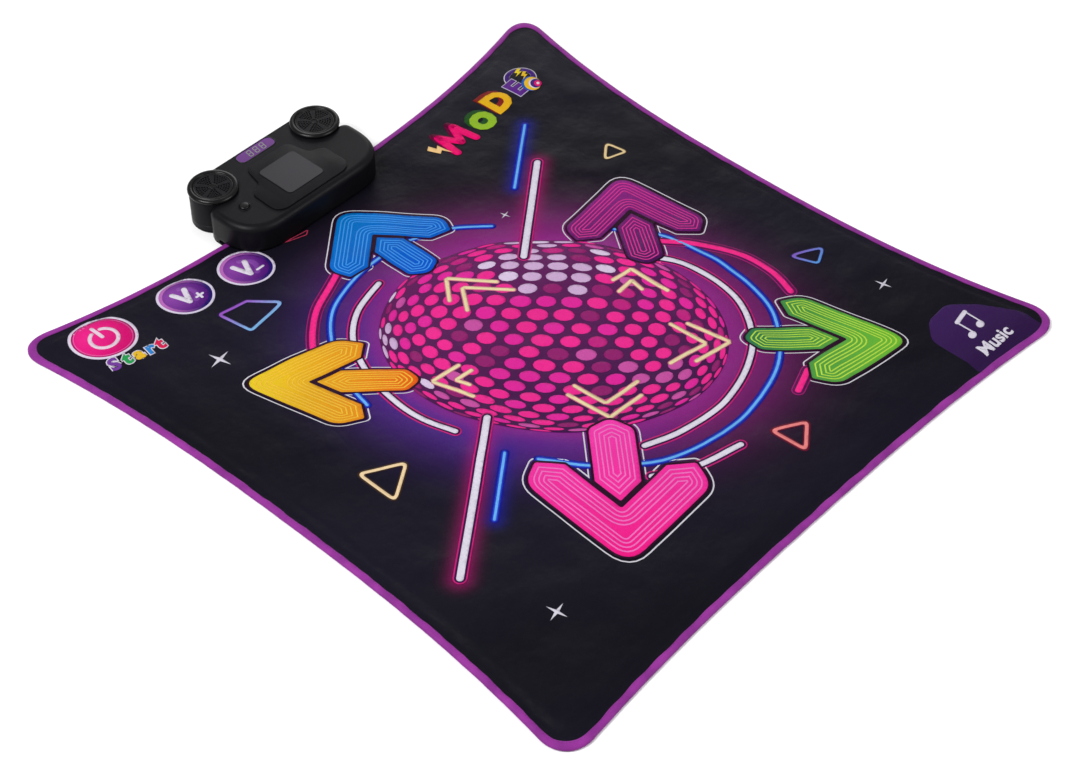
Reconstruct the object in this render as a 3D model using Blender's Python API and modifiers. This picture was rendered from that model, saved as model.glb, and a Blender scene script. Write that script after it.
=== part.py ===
"""A dance rhythm machine: a padded, printed play mat with pressure keys inside, and a console on its far edge.

Metres, +Z up. The origin is the middle of the mat's underside, +Y points to the console, +X to the dancer's right.
"""

import math

import bmesh
import bpy
from mathutils import Matrix, Vector

for leftover in list(bpy.data.objects):
    bpy.data.objects.remove(leftover, do_unlink=True)

# ---- Driving dimensions -------------------------------------------------------------------------------------

GAP = 0.0003  # left between pieces that lie on each other
THIN = "MANIFOLD"  # the Boolean solver for sheets far wider than thick, which "EXACT" turns inside out

# Facets of the round pieces
KEY_SIDES = 28
DRUM_SIDES = 36
SCREW_SIDES = 12

# Mat outline: a square with round corners, whose sides the binding has pulled inwards
MAT_HALF = 0.465
MAT_CORNER = 0.050
PULL = {"right": 0.052, "left": 0.036, "far": 0.060, "near": 0.024}
PULL_POWER = 2.5

# Mat layers, from the floor up
BASE_CLOTH = 0.0010
FILM = 0.0004
SPACER = 0.0020
FOAM = 0.0024
COVER = 0.0008
LAYERS_INSET = 0.030  # foam, films and spacer end this far inside the mat's edge
SLOPE = 0.012  # the cover comes down to the hem over this width
TAPE = 0.0008
TAPE_WIDTH = 0.015
HEM = 0.0058  # the bound edge's whole height

# Pressure keys inside the mat
KEY_THICKNESS = 0.0008
KEY_TRAVEL = 0.0010
KEY_CLEARANCE = 0.0006
ARROW_KEY_RADIUS = 0.058
START_KEY_RADIUS = 0.032
VOLUME_KEY_RADIUS = 0.026
MODE_KEY_SIZE = (0.180, 0.060)
MUSIC_KEY_SIZE = (0.060, 0.056)
ROUND_KEYS = {
    "key_arrow_ahead": (-0.020, 0.262, ARROW_KEY_RADIUS),
    "key_arrow_far_left": (-0.235, 0.125, ARROW_KEY_RADIUS),
    "key_arrow_far_right": (0.225, 0.052, ARROW_KEY_RADIUS),
    "key_arrow_near_left": (-0.140, -0.250, ARROW_KEY_RADIUS),
    "key_arrow_near_right": (0.222, -0.265, ARROW_KEY_RADIUS),
    "key_start": (-0.379, 0.385, START_KEY_RADIUS),
    "key_volume_up": (-0.259, 0.367, VOLUME_KEY_RADIUS),
    "key_volume_down": (-0.172, 0.348, VOLUME_KEY_RADIUS),
}
SQUARE_KEYS = {
    "key_mode": (0.262, 0.346, MODE_KEY_SIZE),
    "key_music": (0.363, -0.392, MUSIC_KEY_SIZE),
}

# Console housing
CONSOLE_X = -0.035
CONSOLE_REACH = 0.115  # how far its front lies inside the line of the mat's far corners
CONSOLE_FRONT = MAT_HALF - CONSOLE_REACH
CONSOLE_HALF = 0.123
CONSOLE_TOP = 0.048
LOBE_RADIUS = 0.052
SHOULDER_DEPTH = 0.086  # depths are taken from the console's front
SHOULDER_Y = CONSOLE_FRONT + SHOULDER_DEPTH
SHOULDER_RADIUS = 0.014
EDGE_RADIUS = 0.009
WALL = 0.0022
BASE_LOW = 0.0010
BASE_PLATE = 0.0018
MAT_SLOT_END = CONSOLE_FRONT + 0.066  # the housing's wall stands clear of the mat as far back as this
LIP = 0.0014
LIP_HEIGHT = 0.0050
CLAMP_DEPTH = 0.014
CLAMP_HALF = 0.086

# Speakers
DRUM_RADIUS = 0.032
DRUM_INSET = 0.001  # the drums' sides lie this far inside the housing's
DRUM_X = CONSOLE_HALF - DRUM_INSET - DRUM_RADIUS
DRUM_Y = CONSOLE_FRONT + 0.109
BACK_STEP = 0.001  # the housing's back lies this far inside the drums' backs
SPEAKER_OPENING = DRUM_RADIUS - 0.008
GRILLE_OVERHANG = 0.0013
GRILLE_RADIUS = DRUM_RADIUS + GRILLE_OVERHANG
GRILLE_HEIGHT = 0.0050
GRILLE_PLATE = 0.0017
GRILLE_RIM = 0.0060
GRILLE_HOLE = 0.0016
FRAME_WALL = 0.0012
FRAME_DEPTH = 0.0147
FRAME_FLANGE = 0.0050
MAGNET_RADIUS = 0.0155
MAGNET_HEIGHT = 0.0090
CONE_THICKNESS = 0.0007
CONE_CLEARANCE = 0.0007
COIL_RADIUS = 0.0056

# Display
WINDOW_Y = CONSOLE_FRONT + 0.127
WINDOW_SIZE = (0.066, 0.022)
WINDOW_THICKNESS = 0.0007
WINDOW_SINK = 0.0001
DIGITS_SIZE = (0.035, 0.013, 0.0078)
DIGITS_RISE = 0.0007  # the digits stand this far up into the window's opening
DISPLAY_BOARD_SIZE = (0.056, 0.019, 0.0016)
DISPLAY_POST_X = 0.0245
POST_RADIUS = 0.0022

# Raised centre plate and its sticker
PLATE_LOW_HALF = 0.065
PLATE_HIGH_HALF = 0.036
PLATE_NEAR = CONSOLE_FRONT + 0.011
PLATE_SHOULDER = CONSOLE_FRONT + 0.064
PLATE_FAR = CONSOLE_FRONT + 0.106
PLATE_THICKNESS = 0.0016
PEG_RADIUS = 0.0018
PEG_CLEARANCE = 0.0004
PEG_LENGTH = 0.0040
PEG_PLACE = (0.045, CONSOLE_FRONT + 0.030)
STICKER_Y = CONSOLE_FRONT + 0.058
STICKER_SIDE = 0.061
STICKER_CORNER = 0.006
STICKER_THICKNESS = 0.0003

# Power push button
BUTTON_PLACE = (-0.086, CONSOLE_FRONT + 0.054)
BUTTON_RADIUS = 0.0064
BUTTON_CLEARANCE = 0.0004
BUTTON_RISE = 0.0028
BUTTON_TRAVEL = 0.0008
BUTTON_FLANGE = 0.0014
STEM_RADIUS = 0.0020
SWITCH_SIDE = 0.0062
SWITCH_HEIGHT = 0.0031
PLUNGER_HEIGHT = 0.0005

# Main board
BOARD_LOW = 0.030
BOARD_THICKNESS = 0.0016
BOARD_X = (-0.097, 0.057)
BOARD_Y = (CONSOLE_FRONT + 0.017, CONSOLE_FRONT + 0.075)
BOARD_MARGIN = 0.005
CHIP_SIDE = 0.012
CHIP_HEIGHT = 0.0015
CONNECTOR_SIZE = (0.036, 0.006, 0.0036)
CONNECTOR_Y = CONSOLE_FRONT + 0.055

# Film tail, from the mat's films to the main board
TAIL_WIDTH = 0.030
TAIL_THICKNESS = 0.0003
TAIL_START = CONSOLE_FRONT - 0.020

# Batteries
CELLS_Y = CONSOLE_FRONT + 0.107
CELL_RADIUS = 0.0071
CELL_SPACING = 0.0010
CELL_PITCH = 2 * CELL_RADIUS + CELL_SPACING
CELL_LENGTH = 0.0495
CELL_NUB_RADIUS = 0.0027
CELL_NUB = 0.0010
BAY_LENGTH = 0.0588
BAY_SIDE_CLEARANCE = 0.0005
BAY_HEAD_CLEARANCE = 0.0007
BAY_WALL = 0.0020
CONTACT_THICKNESS = 0.0005
CONTACT_SIDE = 0.012
SPRING_WIRE = 0.0004
SPRING_RADIUS = 0.0045
SPRING_TIP_RADIUS = 0.0030
SPRING_TURNS = 3.5
DOOR_THICKNESS = 0.0012
DOOR_LEDGE = 0.0011
DOOR_CLEARANCE = 0.0005
DOOR_TONGUE_CORNER = 0.004
DOOR_TONGUE = (0.014, 0.0105)
DOOR_SCREW_REACH = 0.0054

# Screws and feet
SCREW_RADIUS = 0.00145
SCREW_HEAD_RADIUS = 0.0030
SCREW_HEAD = 0.0009
SCREW_CLEARANCE = 0.0003
CASE_SCREW_LENGTH = 0.020
DOOR_SCREW_LENGTH = 0.007
BOSS_RADIUS = 0.0038
BACK_SCREW_X = DRUM_X - DRUM_RADIUS + 0.002
CASE_SCREWS = {
    "case_screw_front_left": (-0.080, CONSOLE_FRONT + 0.010),
    "case_screw_front_right": (0.080, CONSOLE_FRONT + 0.010),
    "case_screw_back_left": (-BACK_SCREW_X, CONSOLE_FRONT + 0.1335),
    "case_screw_back_right": (BACK_SCREW_X, CONSOLE_FRONT + 0.1335),
}
FOOT_RADIUS = 0.0060
FOOT_HEIGHT = 0.0016
FOOT_CLEARANCE = 0.0003
FEET = {
    "foot_front_left": (-0.088, CONSOLE_FRONT + 0.036),
    "foot_front_right": (0.088, CONSOLE_FRONT + 0.036),
    "foot_back_left": (-DRUM_X - 0.002, DRUM_Y + 0.003),
    "foot_back_right": (DRUM_X + 0.002, DRUM_Y + 0.003),
}

# ---- Heights worked out from the sizes above ----------------------------------------------------------------

LOWER_FILM = BASE_CLOTH + GAP
SPACER_LOW = LOWER_FILM + FILM + GAP
SPACER_HIGH = SPACER_LOW + SPACER
UPPER_FILM = SPACER_HIGH + GAP
FOAM_LOW = UPPER_FILM + FILM + GAP
COVER_LOW = FOAM_LOW + FOAM + GAP
COVER_HIGH = COVER_LOW + COVER
HEM_COVER_HIGH = HEM - TAPE - GAP
HEM_COVER_LOW = HEM_COVER_HIGH - COVER
HEM_BASE_LOW = TAPE + GAP
HEM_BASE_HIGH = HEM_BASE_LOW + TAPE
KEY_HIGH = SPACER_HIGH - GAP / 3
KEY_LOW = KEY_HIGH - KEY_THICKNESS

CONSOLE_BACK = DRUM_Y + DRUM_RADIUS - BACK_STEP
ABOVE_CONSOLE = CONSOLE_TOP + 0.012
BEFORE_CONSOLE = CONSOLE_FRONT - 0.050  # where cutters that open the console's front start
BASE_HIGH = BASE_LOW + BASE_PLATE
SHELL_LOW = BASE_HIGH + GAP
SHELL_OVER_MAT = COVER_HIGH + 0.0004
ROOF = CONSOLE_TOP - WALL
DRUM_TOP = CONSOLE_TOP + 0.0007
DRUM_ROOF = DRUM_TOP - WALL
GRILLE_LOW = DRUM_TOP + GAP
FRAME_TOP = DRUM_ROOF - GAP
DISPLAY_BOARD_HIGH = ROOF - DIGITS_SIZE[2] + DIGITS_RISE - GAP
FRAME_LOW = FRAME_TOP - FRAME_WALL - FRAME_DEPTH
BOARD_HIGH = BOARD_LOW + BOARD_THICKNESS
CELL_Z = BASE_LOW + DOOR_THICKNESS + 2 * GAP + CELL_RADIUS
BAY_DEPTH = 2 * (CELL_PITCH + CELL_RADIUS + BAY_SIDE_CLEARANCE)
BAY_ROOF = CELL_Z + CELL_RADIUS + BAY_HEAD_CLEARANCE


# ---- Materials ----------------------------------------------------------------------------------------------

FINISHES = {
    "printed_cloth": ((0.030, 0.028, 0.036), 0.55, 0.0),
    "binding_tape": ((0.30, 0.03, 0.30), 0.60, 0.0),
    "foam": ((0.75, 0.75, 0.72), 0.90, 0.0),
    "film": ((0.80, 0.82, 0.82), 0.25, 0.0),
    "carbon_pad": ((0.04, 0.04, 0.04), 0.70, 0.0),
    "grip_cloth": ((0.02, 0.02, 0.02), 0.85, 0.0),
    "black_plastic": ((0.012, 0.012, 0.013), 0.42, 0.0),
    "purple_window": ((0.16, 0.02, 0.22), 0.15, 0.0),
    "sticker": ((0.10, 0.02, 0.12), 0.35, 0.0),
    "board": ((0.02, 0.18, 0.06), 0.45, 0.0),
    "component": ((0.02, 0.02, 0.02), 0.50, 0.0),
    "paper_cone": ((0.05, 0.05, 0.05), 0.80, 0.0),
    "steel": ((0.55, 0.55, 0.56), 0.30, 1.0),
    "magnet": ((0.10, 0.10, 0.10), 0.45, 0.6),
    "cell_jacket": ((0.10, 0.10, 0.12), 0.35, 0.2),
    "rubber": ((0.03, 0.03, 0.03), 0.90, 0.0),
}


def make_material(name):
    colour, roughness, metallic = FINISHES[name]
    material = bpy.data.materials.new(name)
    material.use_nodes = True
    shader = material.node_tree.nodes["Principled BSDF"]
    shader.inputs["Base Color"].default_value = (*colour, 1.0)
    shader.inputs["Roughness"].default_value = roughness
    shader.inputs["Metallic"].default_value = metallic
    material.diffuse_color = (*colour, 1.0)
    return material


MATERIALS = {name: make_material(name) for name in FINISHES}
PARTS = bpy.data.collections.new("dance_rhythm_machine")
bpy.context.scene.collection.children.link(PARTS)


# ---- Shapes -------------------------------------------------------------------------------------------------


def add(name, mesh, finish=None, location=(0, 0, 0), parent=None):
    """A new object in the machine's collection, from a mesh."""
    piece = bpy.data.objects.new(name, mesh)
    PARTS.objects.link(piece)
    piece.location = location
    piece.parent = parent
    if finish:
        mesh.materials.clear()
        mesh.materials.append(MATERIALS[finish])
    return piece


def mesh_from(bm, name):
    bmesh.ops.recalc_face_normals(bm, faces=bm.faces[:])
    mesh = bpy.data.meshes.new(name)
    bm.to_mesh(mesh)
    bm.free()
    return mesh


def box(name, low, high, finish=None, location=(0, 0, 0)):
    """A box between two opposite corners, given from its location."""
    low, high = Vector(low), Vector(high)
    bm = bmesh.new()
    size = high - low
    place = Matrix.Translation((low + high) / 2) @ Matrix.Diagonal((*size, 1))
    bmesh.ops.create_cube(bm, size=1, matrix=place)
    return add(name, mesh_from(bm, name), finish, location)


def cylinder(name, x, y, radius, low, high, finish=None, sides=KEY_SIDES):
    """An upright cylinder, with its origin on its axis."""
    bm = bmesh.new()
    place = Matrix.Translation((0, 0, (low + high) / 2))
    bmesh.ops.create_cone(
        bm, cap_ends=True, segments=sides, radius1=radius, radius2=radius, depth=high - low, matrix=place
    )
    return add(name, mesh_from(bm, name), finish, (x, y, 0))


def turned(name, x, y, profile, finish=None, steps=28, closed=False):
    """A profile of (radius, height) points turned about an upright axis. It runs down its outer side."""
    bm = bmesh.new()
    points = [bm.verts.new((radius, 0, height)) for radius, height in profile]
    for start, end in zip(points, points[1:] + points[:1] if closed else points[1:]):
        bm.edges.new((start, end))
    mesh = bpy.data.meshes.new(name)
    bm.to_mesh(mesh)
    bm.free()
    piece = add(name, mesh, finish, (x, y, 0))
    screw = piece.modifiers.new("turn", "SCREW")
    screw.axis = "Z"
    screw.steps = screw.render_steps = steps
    screw.use_merge_vertices = True
    screw.merge_threshold = 1e-6
    return piece


def settled(piece):
    """The piece with its modifiers and its curve made into a plain mesh."""
    bpy.context.view_layer.update()
    graph = bpy.context.evaluated_depsgraph_get()
    mesh = bpy.data.meshes.new_from_object(piece.evaluated_get(graph))
    bm = bmesh.new()
    bm.from_mesh(mesh)
    bmesh.ops.remove_doubles(bm, verts=bm.verts[:], dist=1e-7)
    if piece.type == "CURVE":
        bmesh.ops.recalc_face_normals(bm, faces=bm.faces[:])
        if bm.calc_volume(signed=True) < 0:
            bmesh.ops.reverse_faces(bm, faces=bm.faces[:])
    bm.to_mesh(mesh)
    bm.free()
    if piece.type == "MESH":
        piece.modifiers.clear()
        piece.data = mesh
        return piece
    name, place = piece.name, piece.matrix_world.copy()
    bpy.data.objects.remove(piece, do_unlink=True)
    piece = add(name, mesh)
    piece.matrix_world = place
    return piece


def combine(piece, others, operation, solver="EXACT"):
    """A Boolean with each of the others in turn. The others are used up."""
    for other in others:
        modifier = piece.modifiers.new(operation.lower(), "BOOLEAN")
        modifier.operation = operation
        modifier.solver = solver
        modifier.object = settled(other)
        settled(piece)
        bpy.data.objects.remove(other, do_unlink=True)
    return piece


def cut(piece, *cutters, solver="EXACT"):
    return combine(piece, cutters, "DIFFERENCE", solver)


def join(piece, *others, solver="EXACT"):
    return combine(piece, others, "UNION", solver)


def slab(name, outline, low, high, finish=None):
    """A flat outline as a 2D curve with a thickness, made a mesh."""
    curve = bpy.data.curves.new(name, "CURVE")
    curve.dimensions = "2D"
    curve.fill_mode = "BOTH"
    curve.extrude = (high - low) / 2
    spline = curve.splines.new("POLY")
    spline.points.add(len(outline) - 1)
    for point, place in zip(spline.points, outline):
        point.co = (place[0], place[1], 0, 1)
    spline.use_cyclic_u = True
    if finish:
        curve.materials.append(MATERIALS[finish])
    piece = bpy.data.objects.new(name, curve)
    PARTS.objects.link(piece)
    piece.location.z = (low + high) / 2
    return settled(piece)


def loft(name, rings, finish=None, ring_shaped=False):
    """A skin over rings of (outline, height) with as many points each, capped unless it is ring-shaped."""
    bm = bmesh.new()
    loops = [[bm.verts.new((place[0], place[1], height)) for place in outline] for outline, height in rings]
    for lower, upper in zip(loops, loops[1:] + loops[:1] if ring_shaped else loops[1:]):
        count = len(lower)
        for index in range(count):
            following = (index + 1) % count
            bm.faces.new((lower[index], lower[following], upper[following], upper[index]))
    if not ring_shaped:
        bm.faces.new(loops[0][::-1])
        bm.faces.new(loops[-1])
    return add(name, mesh_from(bm, name), finish)


def rounded(corners, steps=5):
    """A closed outline through (x, y, radius) corners, taken counter-clockwise."""
    outline = []
    for index, (x, y, radius) in enumerate(corners):
        corner = Vector((x, y))
        if radius == 0:
            outline.append(corner)
            continue
        back = (Vector(corners[index - 1][:2]) - corner).normalized()
        on = (Vector(corners[(index + 1) % len(corners)][:2]) - corner).normalized()
        half = back.angle(on) / 2
        centre = corner + (back + on).normalized() * radius / math.sin(half)
        start = corner + back * radius / math.tan(half) - centre
        turn = math.copysign(math.pi - 2 * half, on.x * back.y - on.y * back.x)
        for step in range(steps + 1):
            angle = math.atan2(start.y, start.x) + turn * step / steps
            outline.append(centre + radius * Vector((math.cos(angle), math.sin(angle))))
    return outline


def inset(outline, distance):
    """A closed counter-clockwise outline moved inwards, each point along its mitre."""
    moved = []
    for before, here, after in zip(outline[-1:] + outline[:-1], outline, outline[1:] + outline[:1]):
        back, on = (here - before).normalized(), (after - here).normalized()
        mitre = Vector((-(back + on).y, (back + on).x)).normalized()
        moved.append(here + mitre * distance / mitre.dot(Vector((-back.y, back.x))))
    return moved


def rectangle(x, y, size, corner=0.0, steps=4):
    half_x, half_y = size[0] / 2, size[1] / 2
    signs = ((-1, -1), (1, -1), (1, 1), (-1, 1))
    return rounded([(x + half_x * right, y + half_y * far, corner) for right, far in signs], steps)


def domed(name, outline, low, top, radius, finish=None, steps=3):
    """A block with upright walls and a rounded top edge."""
    rings = [(outline, low)]
    for step in range(steps + 1):
        angle = math.pi / 2 * step / steps
        rings.append((inset(outline, radius * (1 - math.cos(angle))), top - radius * (1 - math.sin(angle))))
    return loft(name, rings, finish)


# ---- The mat ------------------------------------------------------------------------------------------------


def mat_outline(distance=0.0, side_steps=9):
    """The mat's edge, moved inwards: a rounded square with its sides then pulled in, most at their middles."""
    side, corner = 2 * (MAT_HALF - distance), MAT_CORNER - distance
    arcs = rectangle(0, 0, (side, side), corner, 6)
    points = []
    for index, place in enumerate(arcs):
        points.append(place)
        following = arcs[(index + 1) % len(arcs)]
        if (following - place).length > MAT_CORNER:
            points += [place.lerp(following, step / side_steps) for step in range(1, side_steps)]
    pulled = []
    for place in points:
        along_x, along_y = place / MAT_HALF
        pull_x = PULL["right" if along_x > 0 else "left"] * (1 - abs(along_y) ** PULL_POWER) * along_x
        pull_y = PULL["far" if along_y > 0 else "near"] * (1 - abs(along_x) ** PULL_POWER) * along_y
        pulled.append(place - Vector((pull_x, pull_y)))
    return pulled


def console_outline(distance=0.0):
    """The housing in plan without its speaker drums, moved inwards."""
    corners = [
        (-CONSOLE_HALF, CONSOLE_FRONT, LOBE_RADIUS),
        (CONSOLE_HALF, CONSOLE_FRONT, LOBE_RADIUS),
        (CONSOLE_HALF, SHOULDER_Y, SHOULDER_RADIUS),
        (DRUM_X, SHOULDER_Y, 0),
        (DRUM_X, CONSOLE_BACK, 0),
        (-DRUM_X, CONSOLE_BACK, 0),
        (-DRUM_X, SHOULDER_Y, 0),
        (-CONSOLE_HALF, SHOULDER_Y, SHOULDER_RADIUS),
    ]
    return inset([place + Vector((CONSOLE_X, 0)) for place in rounded(corners)], distance)


def footprint_cutter(high):
    """The console's footprint and a little clearance, from under the floor up to a height."""
    return slab("cutter", console_outline(-0.0005), -0.001, high)


def tail_cutter(start, end, low, high):
    half = TAIL_WIDTH / 2 + 0.0008
    return box("cutter", (CONSOLE_X - half, start, low), (CONSOLE_X + half, end, high))


def key_windows(clearance):
    """A cutter for each pressure key, through all the layers."""
    low, high = -0.001, 0.020
    cutters = [cylinder("cutter", x, y, r + clearance, low, high) for x, y, r in ROUND_KEYS.values()]
    for x, y, size in SQUARE_KEYS.values():
        wide = (size[0] + 2 * clearance, size[1] + 2 * clearance)
        cutters.append(slab("cutter", rectangle(x, y, wide, 0.006 + clearance), low, high))
    return cutters


def screw_cutter(place, radius, low, high):
    return cylinder("cutter", CONSOLE_X + place[0], place[1], radius, low, high, sides=SCREW_SIDES)


def build_mat():
    edge = TAPE + GAP
    hem = TAPE_WIDTH + 2 * GAP
    base = loft(
        "mat_base_cloth",
        [
            (mat_outline(hem), 0),
            (mat_outline(hem), HEM_BASE_LOW),
            (mat_outline(edge), HEM_BASE_LOW),
            (mat_outline(edge), HEM_BASE_HIGH),
            (mat_outline(hem + 2 * TAPE), HEM_BASE_HIGH),
            (mat_outline(hem + 3 * TAPE), BASE_CLOTH),
        ],
        "grip_cloth",
    )
    cut(base, footprint_cutter(SHELL_LOW), solver=THIN)

    for name, low in (("sensor_film_lower", LOWER_FILM), ("sensor_film_upper", UPPER_FILM)):
        film = slab(name, mat_outline(LAYERS_INSET), low, low + FILM, "film")
        cut(film, footprint_cutter(COVER_LOW - GAP / 2), solver=THIN)

    spacer = slab("sensor_spacer", mat_outline(LAYERS_INSET), SPACER_LOW, SPACER_HIGH, "foam")
    cut(spacer, footprint_cutter(COVER_LOW - GAP / 2), *key_windows(KEY_CLEARANCE), solver=THIN)
    cut(spacer, tail_cutter(TAIL_START - GAP, CONSOLE_FRONT + 0.002, 0, COVER_LOW), solver=THIN)

    foam = slab("foam_pad", mat_outline(LAYERS_INSET), FOAM_LOW, FOAM_LOW + FOAM, "foam")
    cut(foam, footprint_cutter(COVER_LOW - GAP / 2), solver=THIN)

    cover = loft(
        "printed_cover",
        [
            (mat_outline(hem + SLOPE + TAPE), COVER_LOW),
            (mat_outline(hem + TAPE), HEM_COVER_LOW),
            (mat_outline(edge), HEM_COVER_LOW),
            (mat_outline(edge), HEM_COVER_HIGH),
            (mat_outline(hem), HEM_COVER_HIGH),
            (mat_outline(hem + SLOPE), COVER_HIGH),
        ],
        "printed_cloth",
    )
    for name, place in CASE_SCREWS.items():
        if "front" in name:
            cut(cover, screw_cutter(place, SCREW_RADIUS + SCREW_CLEARANCE, 0, 0.02), solver=THIN)

    section = [
        (0, 0), (0, HEM), (TAPE_WIDTH, HEM), (TAPE_WIDTH, HEM - TAPE),
        (TAPE, HEM - TAPE), (TAPE, TAPE), (TAPE_WIDTH, TAPE), (TAPE_WIDTH, 0),
    ]
    tape = loft("edge_binding", [(mat_outline(d), z) for d, z in section], "binding_tape", ring_shaped=True)
    tail_slit = tail_cutter(CONSOLE_FRONT, CONSOLE_BACK, BASE_HIGH - GAP, HEM_COVER_LOW)
    cut(tape, footprint_cutter(SHELL_LOW), tail_slit, solver=THIN)

    for name, (x, y, radius) in ROUND_KEYS.items():
        cylinder(name, x, y, radius, KEY_LOW, KEY_HIGH, "carbon_pad")
    for name, (x, y, size) in SQUARE_KEYS.items():
        slab(name, rectangle(x, y, size, 0.006), KEY_LOW, KEY_HIGH, "carbon_pad")


def build_tail():
    """The printed film that carries the keys' signals, under the mat's hem and up to the main board."""
    rest = SPACER_LOW + TAIL_THICKNESS
    crossing = BASE_HIGH + GAP + TAIL_THICKNESS / 2
    mouth = BOARD_LOW - GAP - CONNECTOR_SIZE[2] / 2
    bend = MAT_SLOT_END + 0.003
    path = [
        (TAIL_START, rest), (TAIL_START + 0.010, rest), (CONSOLE_FRONT - 0.004, crossing),
        (MAT_SLOT_END - 0.010, crossing), (bend - 0.004, crossing + 0.0015), (bend, crossing + 0.006),
        (bend, mouth - 0.008), (bend - 0.002, mouth - 0.003), (bend - 0.006, mouth),
        (CONNECTOR_Y + CONNECTOR_SIZE[1] / 2 + GAP, mouth),
    ]
    bm = bmesh.new()
    verts = [bm.verts.new((-TAIL_WIDTH / 2, y, z)) for y, z in path]
    edges = [bm.edges.new(pair) for pair in zip(verts, verts[1:])]
    swept = bmesh.ops.extrude_edge_only(bm, edges=edges)["geom"]
    far_side = [item for item in swept if isinstance(item, bmesh.types.BMVert)]
    bmesh.ops.translate(bm, verts=far_side, vec=(TAIL_WIDTH, 0, 0))
    tail = add("film_tail", mesh_from(bm, "film_tail"), "film", (CONSOLE_X, 0, 0))
    wall = tail.modifiers.new("thickness", "SOLIDIFY")
    wall.thickness = TAIL_THICKNESS
    wall.offset = 0
    wall.use_even_offset = True


# ---- The console --------------------------------------------------------------------------------------------


def both_sides(make):
    """What `make` builds for the left and the right of the console."""
    return [make(CONSOLE_X + side * DRUM_X, label) for side, label in ((-1, "left"), (1, "right"))]


def drums(name, radius, low, high):
    return both_sides(lambda x, label: cylinder(name, x, DRUM_Y, radius, low, high, sides=DRUM_SIDES))


def build_shell():
    shell = domed("console_top", console_outline(), SHELL_LOW, CONSOLE_TOP, EDGE_RADIUS, "black_plastic")
    join(shell, *drums("drum", DRUM_RADIUS, SHELL_LOW, DRUM_TOP))
    cut(shell, domed("hollow", console_outline(WALL), 0, ROOF, EDGE_RADIUS - WALL))
    cut(shell, *drums("hollow", DRUM_RADIUS - WALL, 0, DRUM_ROOF))
    cut(shell, *drums("mouth", SPEAKER_OPENING, 0, ABOVE_CONSOLE))

    wide = 2 * CONSOLE_HALF
    cut(shell, box("slot", (CONSOLE_X - wide, BEFORE_CONSOLE, 0), (CONSOLE_X + wide, MAT_SLOT_END, SHELL_OVER_MAT)))

    window = rectangle(CONSOLE_X, WINDOW_Y, [side + 2 * GAP for side in WINDOW_SIZE], WINDOW_SIZE[1] / 2, 10)
    recess = CONSOLE_TOP - WINDOW_SINK - WINDOW_THICKNESS - GAP
    digits = [side + 0.001 for side in DIGITS_SIZE[:2]]
    cut(shell, slab("recess", window, recess, ABOVE_CONSOLE))
    cut(shell, slab("aperture", rectangle(CONSOLE_X, WINDOW_Y, digits), ROOF - 0.001, ABOVE_CONSOLE))

    inside = ROOF + WALL / 2
    bosses = [screw_cutter(place, BOSS_RADIUS, SHELL_OVER_MAT, inside) for place in CASE_SCREWS.values()]
    display_places = [(side * DISPLAY_POST_X, WINDOW_Y) for side in (-1, 1)]
    posts = [screw_cutter(place, POST_RADIUS, DISPLAY_BOARD_HIGH + GAP, ROOF + WALL / 3) for place in display_places]
    posts += [screw_cutter(place, POST_RADIUS, BOARD_HIGH + GAP, ROOF + WALL / 2) for place in board_posts()]
    join(shell, *bosses, *posts)

    pilot = SCREW_RADIUS + SCREW_CLEARANCE
    depth = BASE_LOW + CASE_SCREW_LENGTH + 0.004
    cut(shell, *[screw_cutter(place, pilot, 0, depth) for place in CASE_SCREWS.values()])
    cut(shell, screw_cutter(BUTTON_PLACE, BUTTON_RADIUS + BUTTON_CLEARANCE, ROOF - 0.01, ABOVE_CONSOLE))
    peg_x, peg_y = PEG_PLACE
    peg_hole = PEG_RADIUS + PEG_CLEARANCE
    cut(shell, *[screw_cutter((x, peg_y), peg_hole, ROOF - 0.003, ABOVE_CONSOLE) for x in (-peg_x, peg_x)])


def board_posts():
    return [(x, y) for x in (BOARD_X[0] + BOARD_MARGIN, BOARD_X[1] - BOARD_MARGIN)
            for y in (BOARD_Y[0] + BOARD_MARGIN, BOARD_Y[1] - BOARD_MARGIN)]


def door_screw_places():
    reach = BAY_LENGTH / 2 + DOOR_SCREW_REACH
    return {"left": (-reach, CELLS_Y), "right": (reach, CELLS_Y)}


def door_slabs(clearance, low, high):
    """The battery door's plate and its two screw tongues, grown by a clearance."""
    plate = (BAY_LENGTH + 2 * (DOOR_LEDGE + clearance), BAY_DEPTH + 2 * (DOOR_LEDGE + clearance))
    tongue = (BAY_LENGTH + 2 * (DOOR_TONGUE[1] + clearance), DOOR_TONGUE[0] + 2 * clearance)
    return [
        slab("door_plate", rectangle(CONSOLE_X, CELLS_Y, plate, 0, 1), low, high),
        slab("door_tongues", rectangle(CONSOLE_X, CELLS_Y, tongue, DOOR_TONGUE_CORNER, 3), low, high),
    ]


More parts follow.
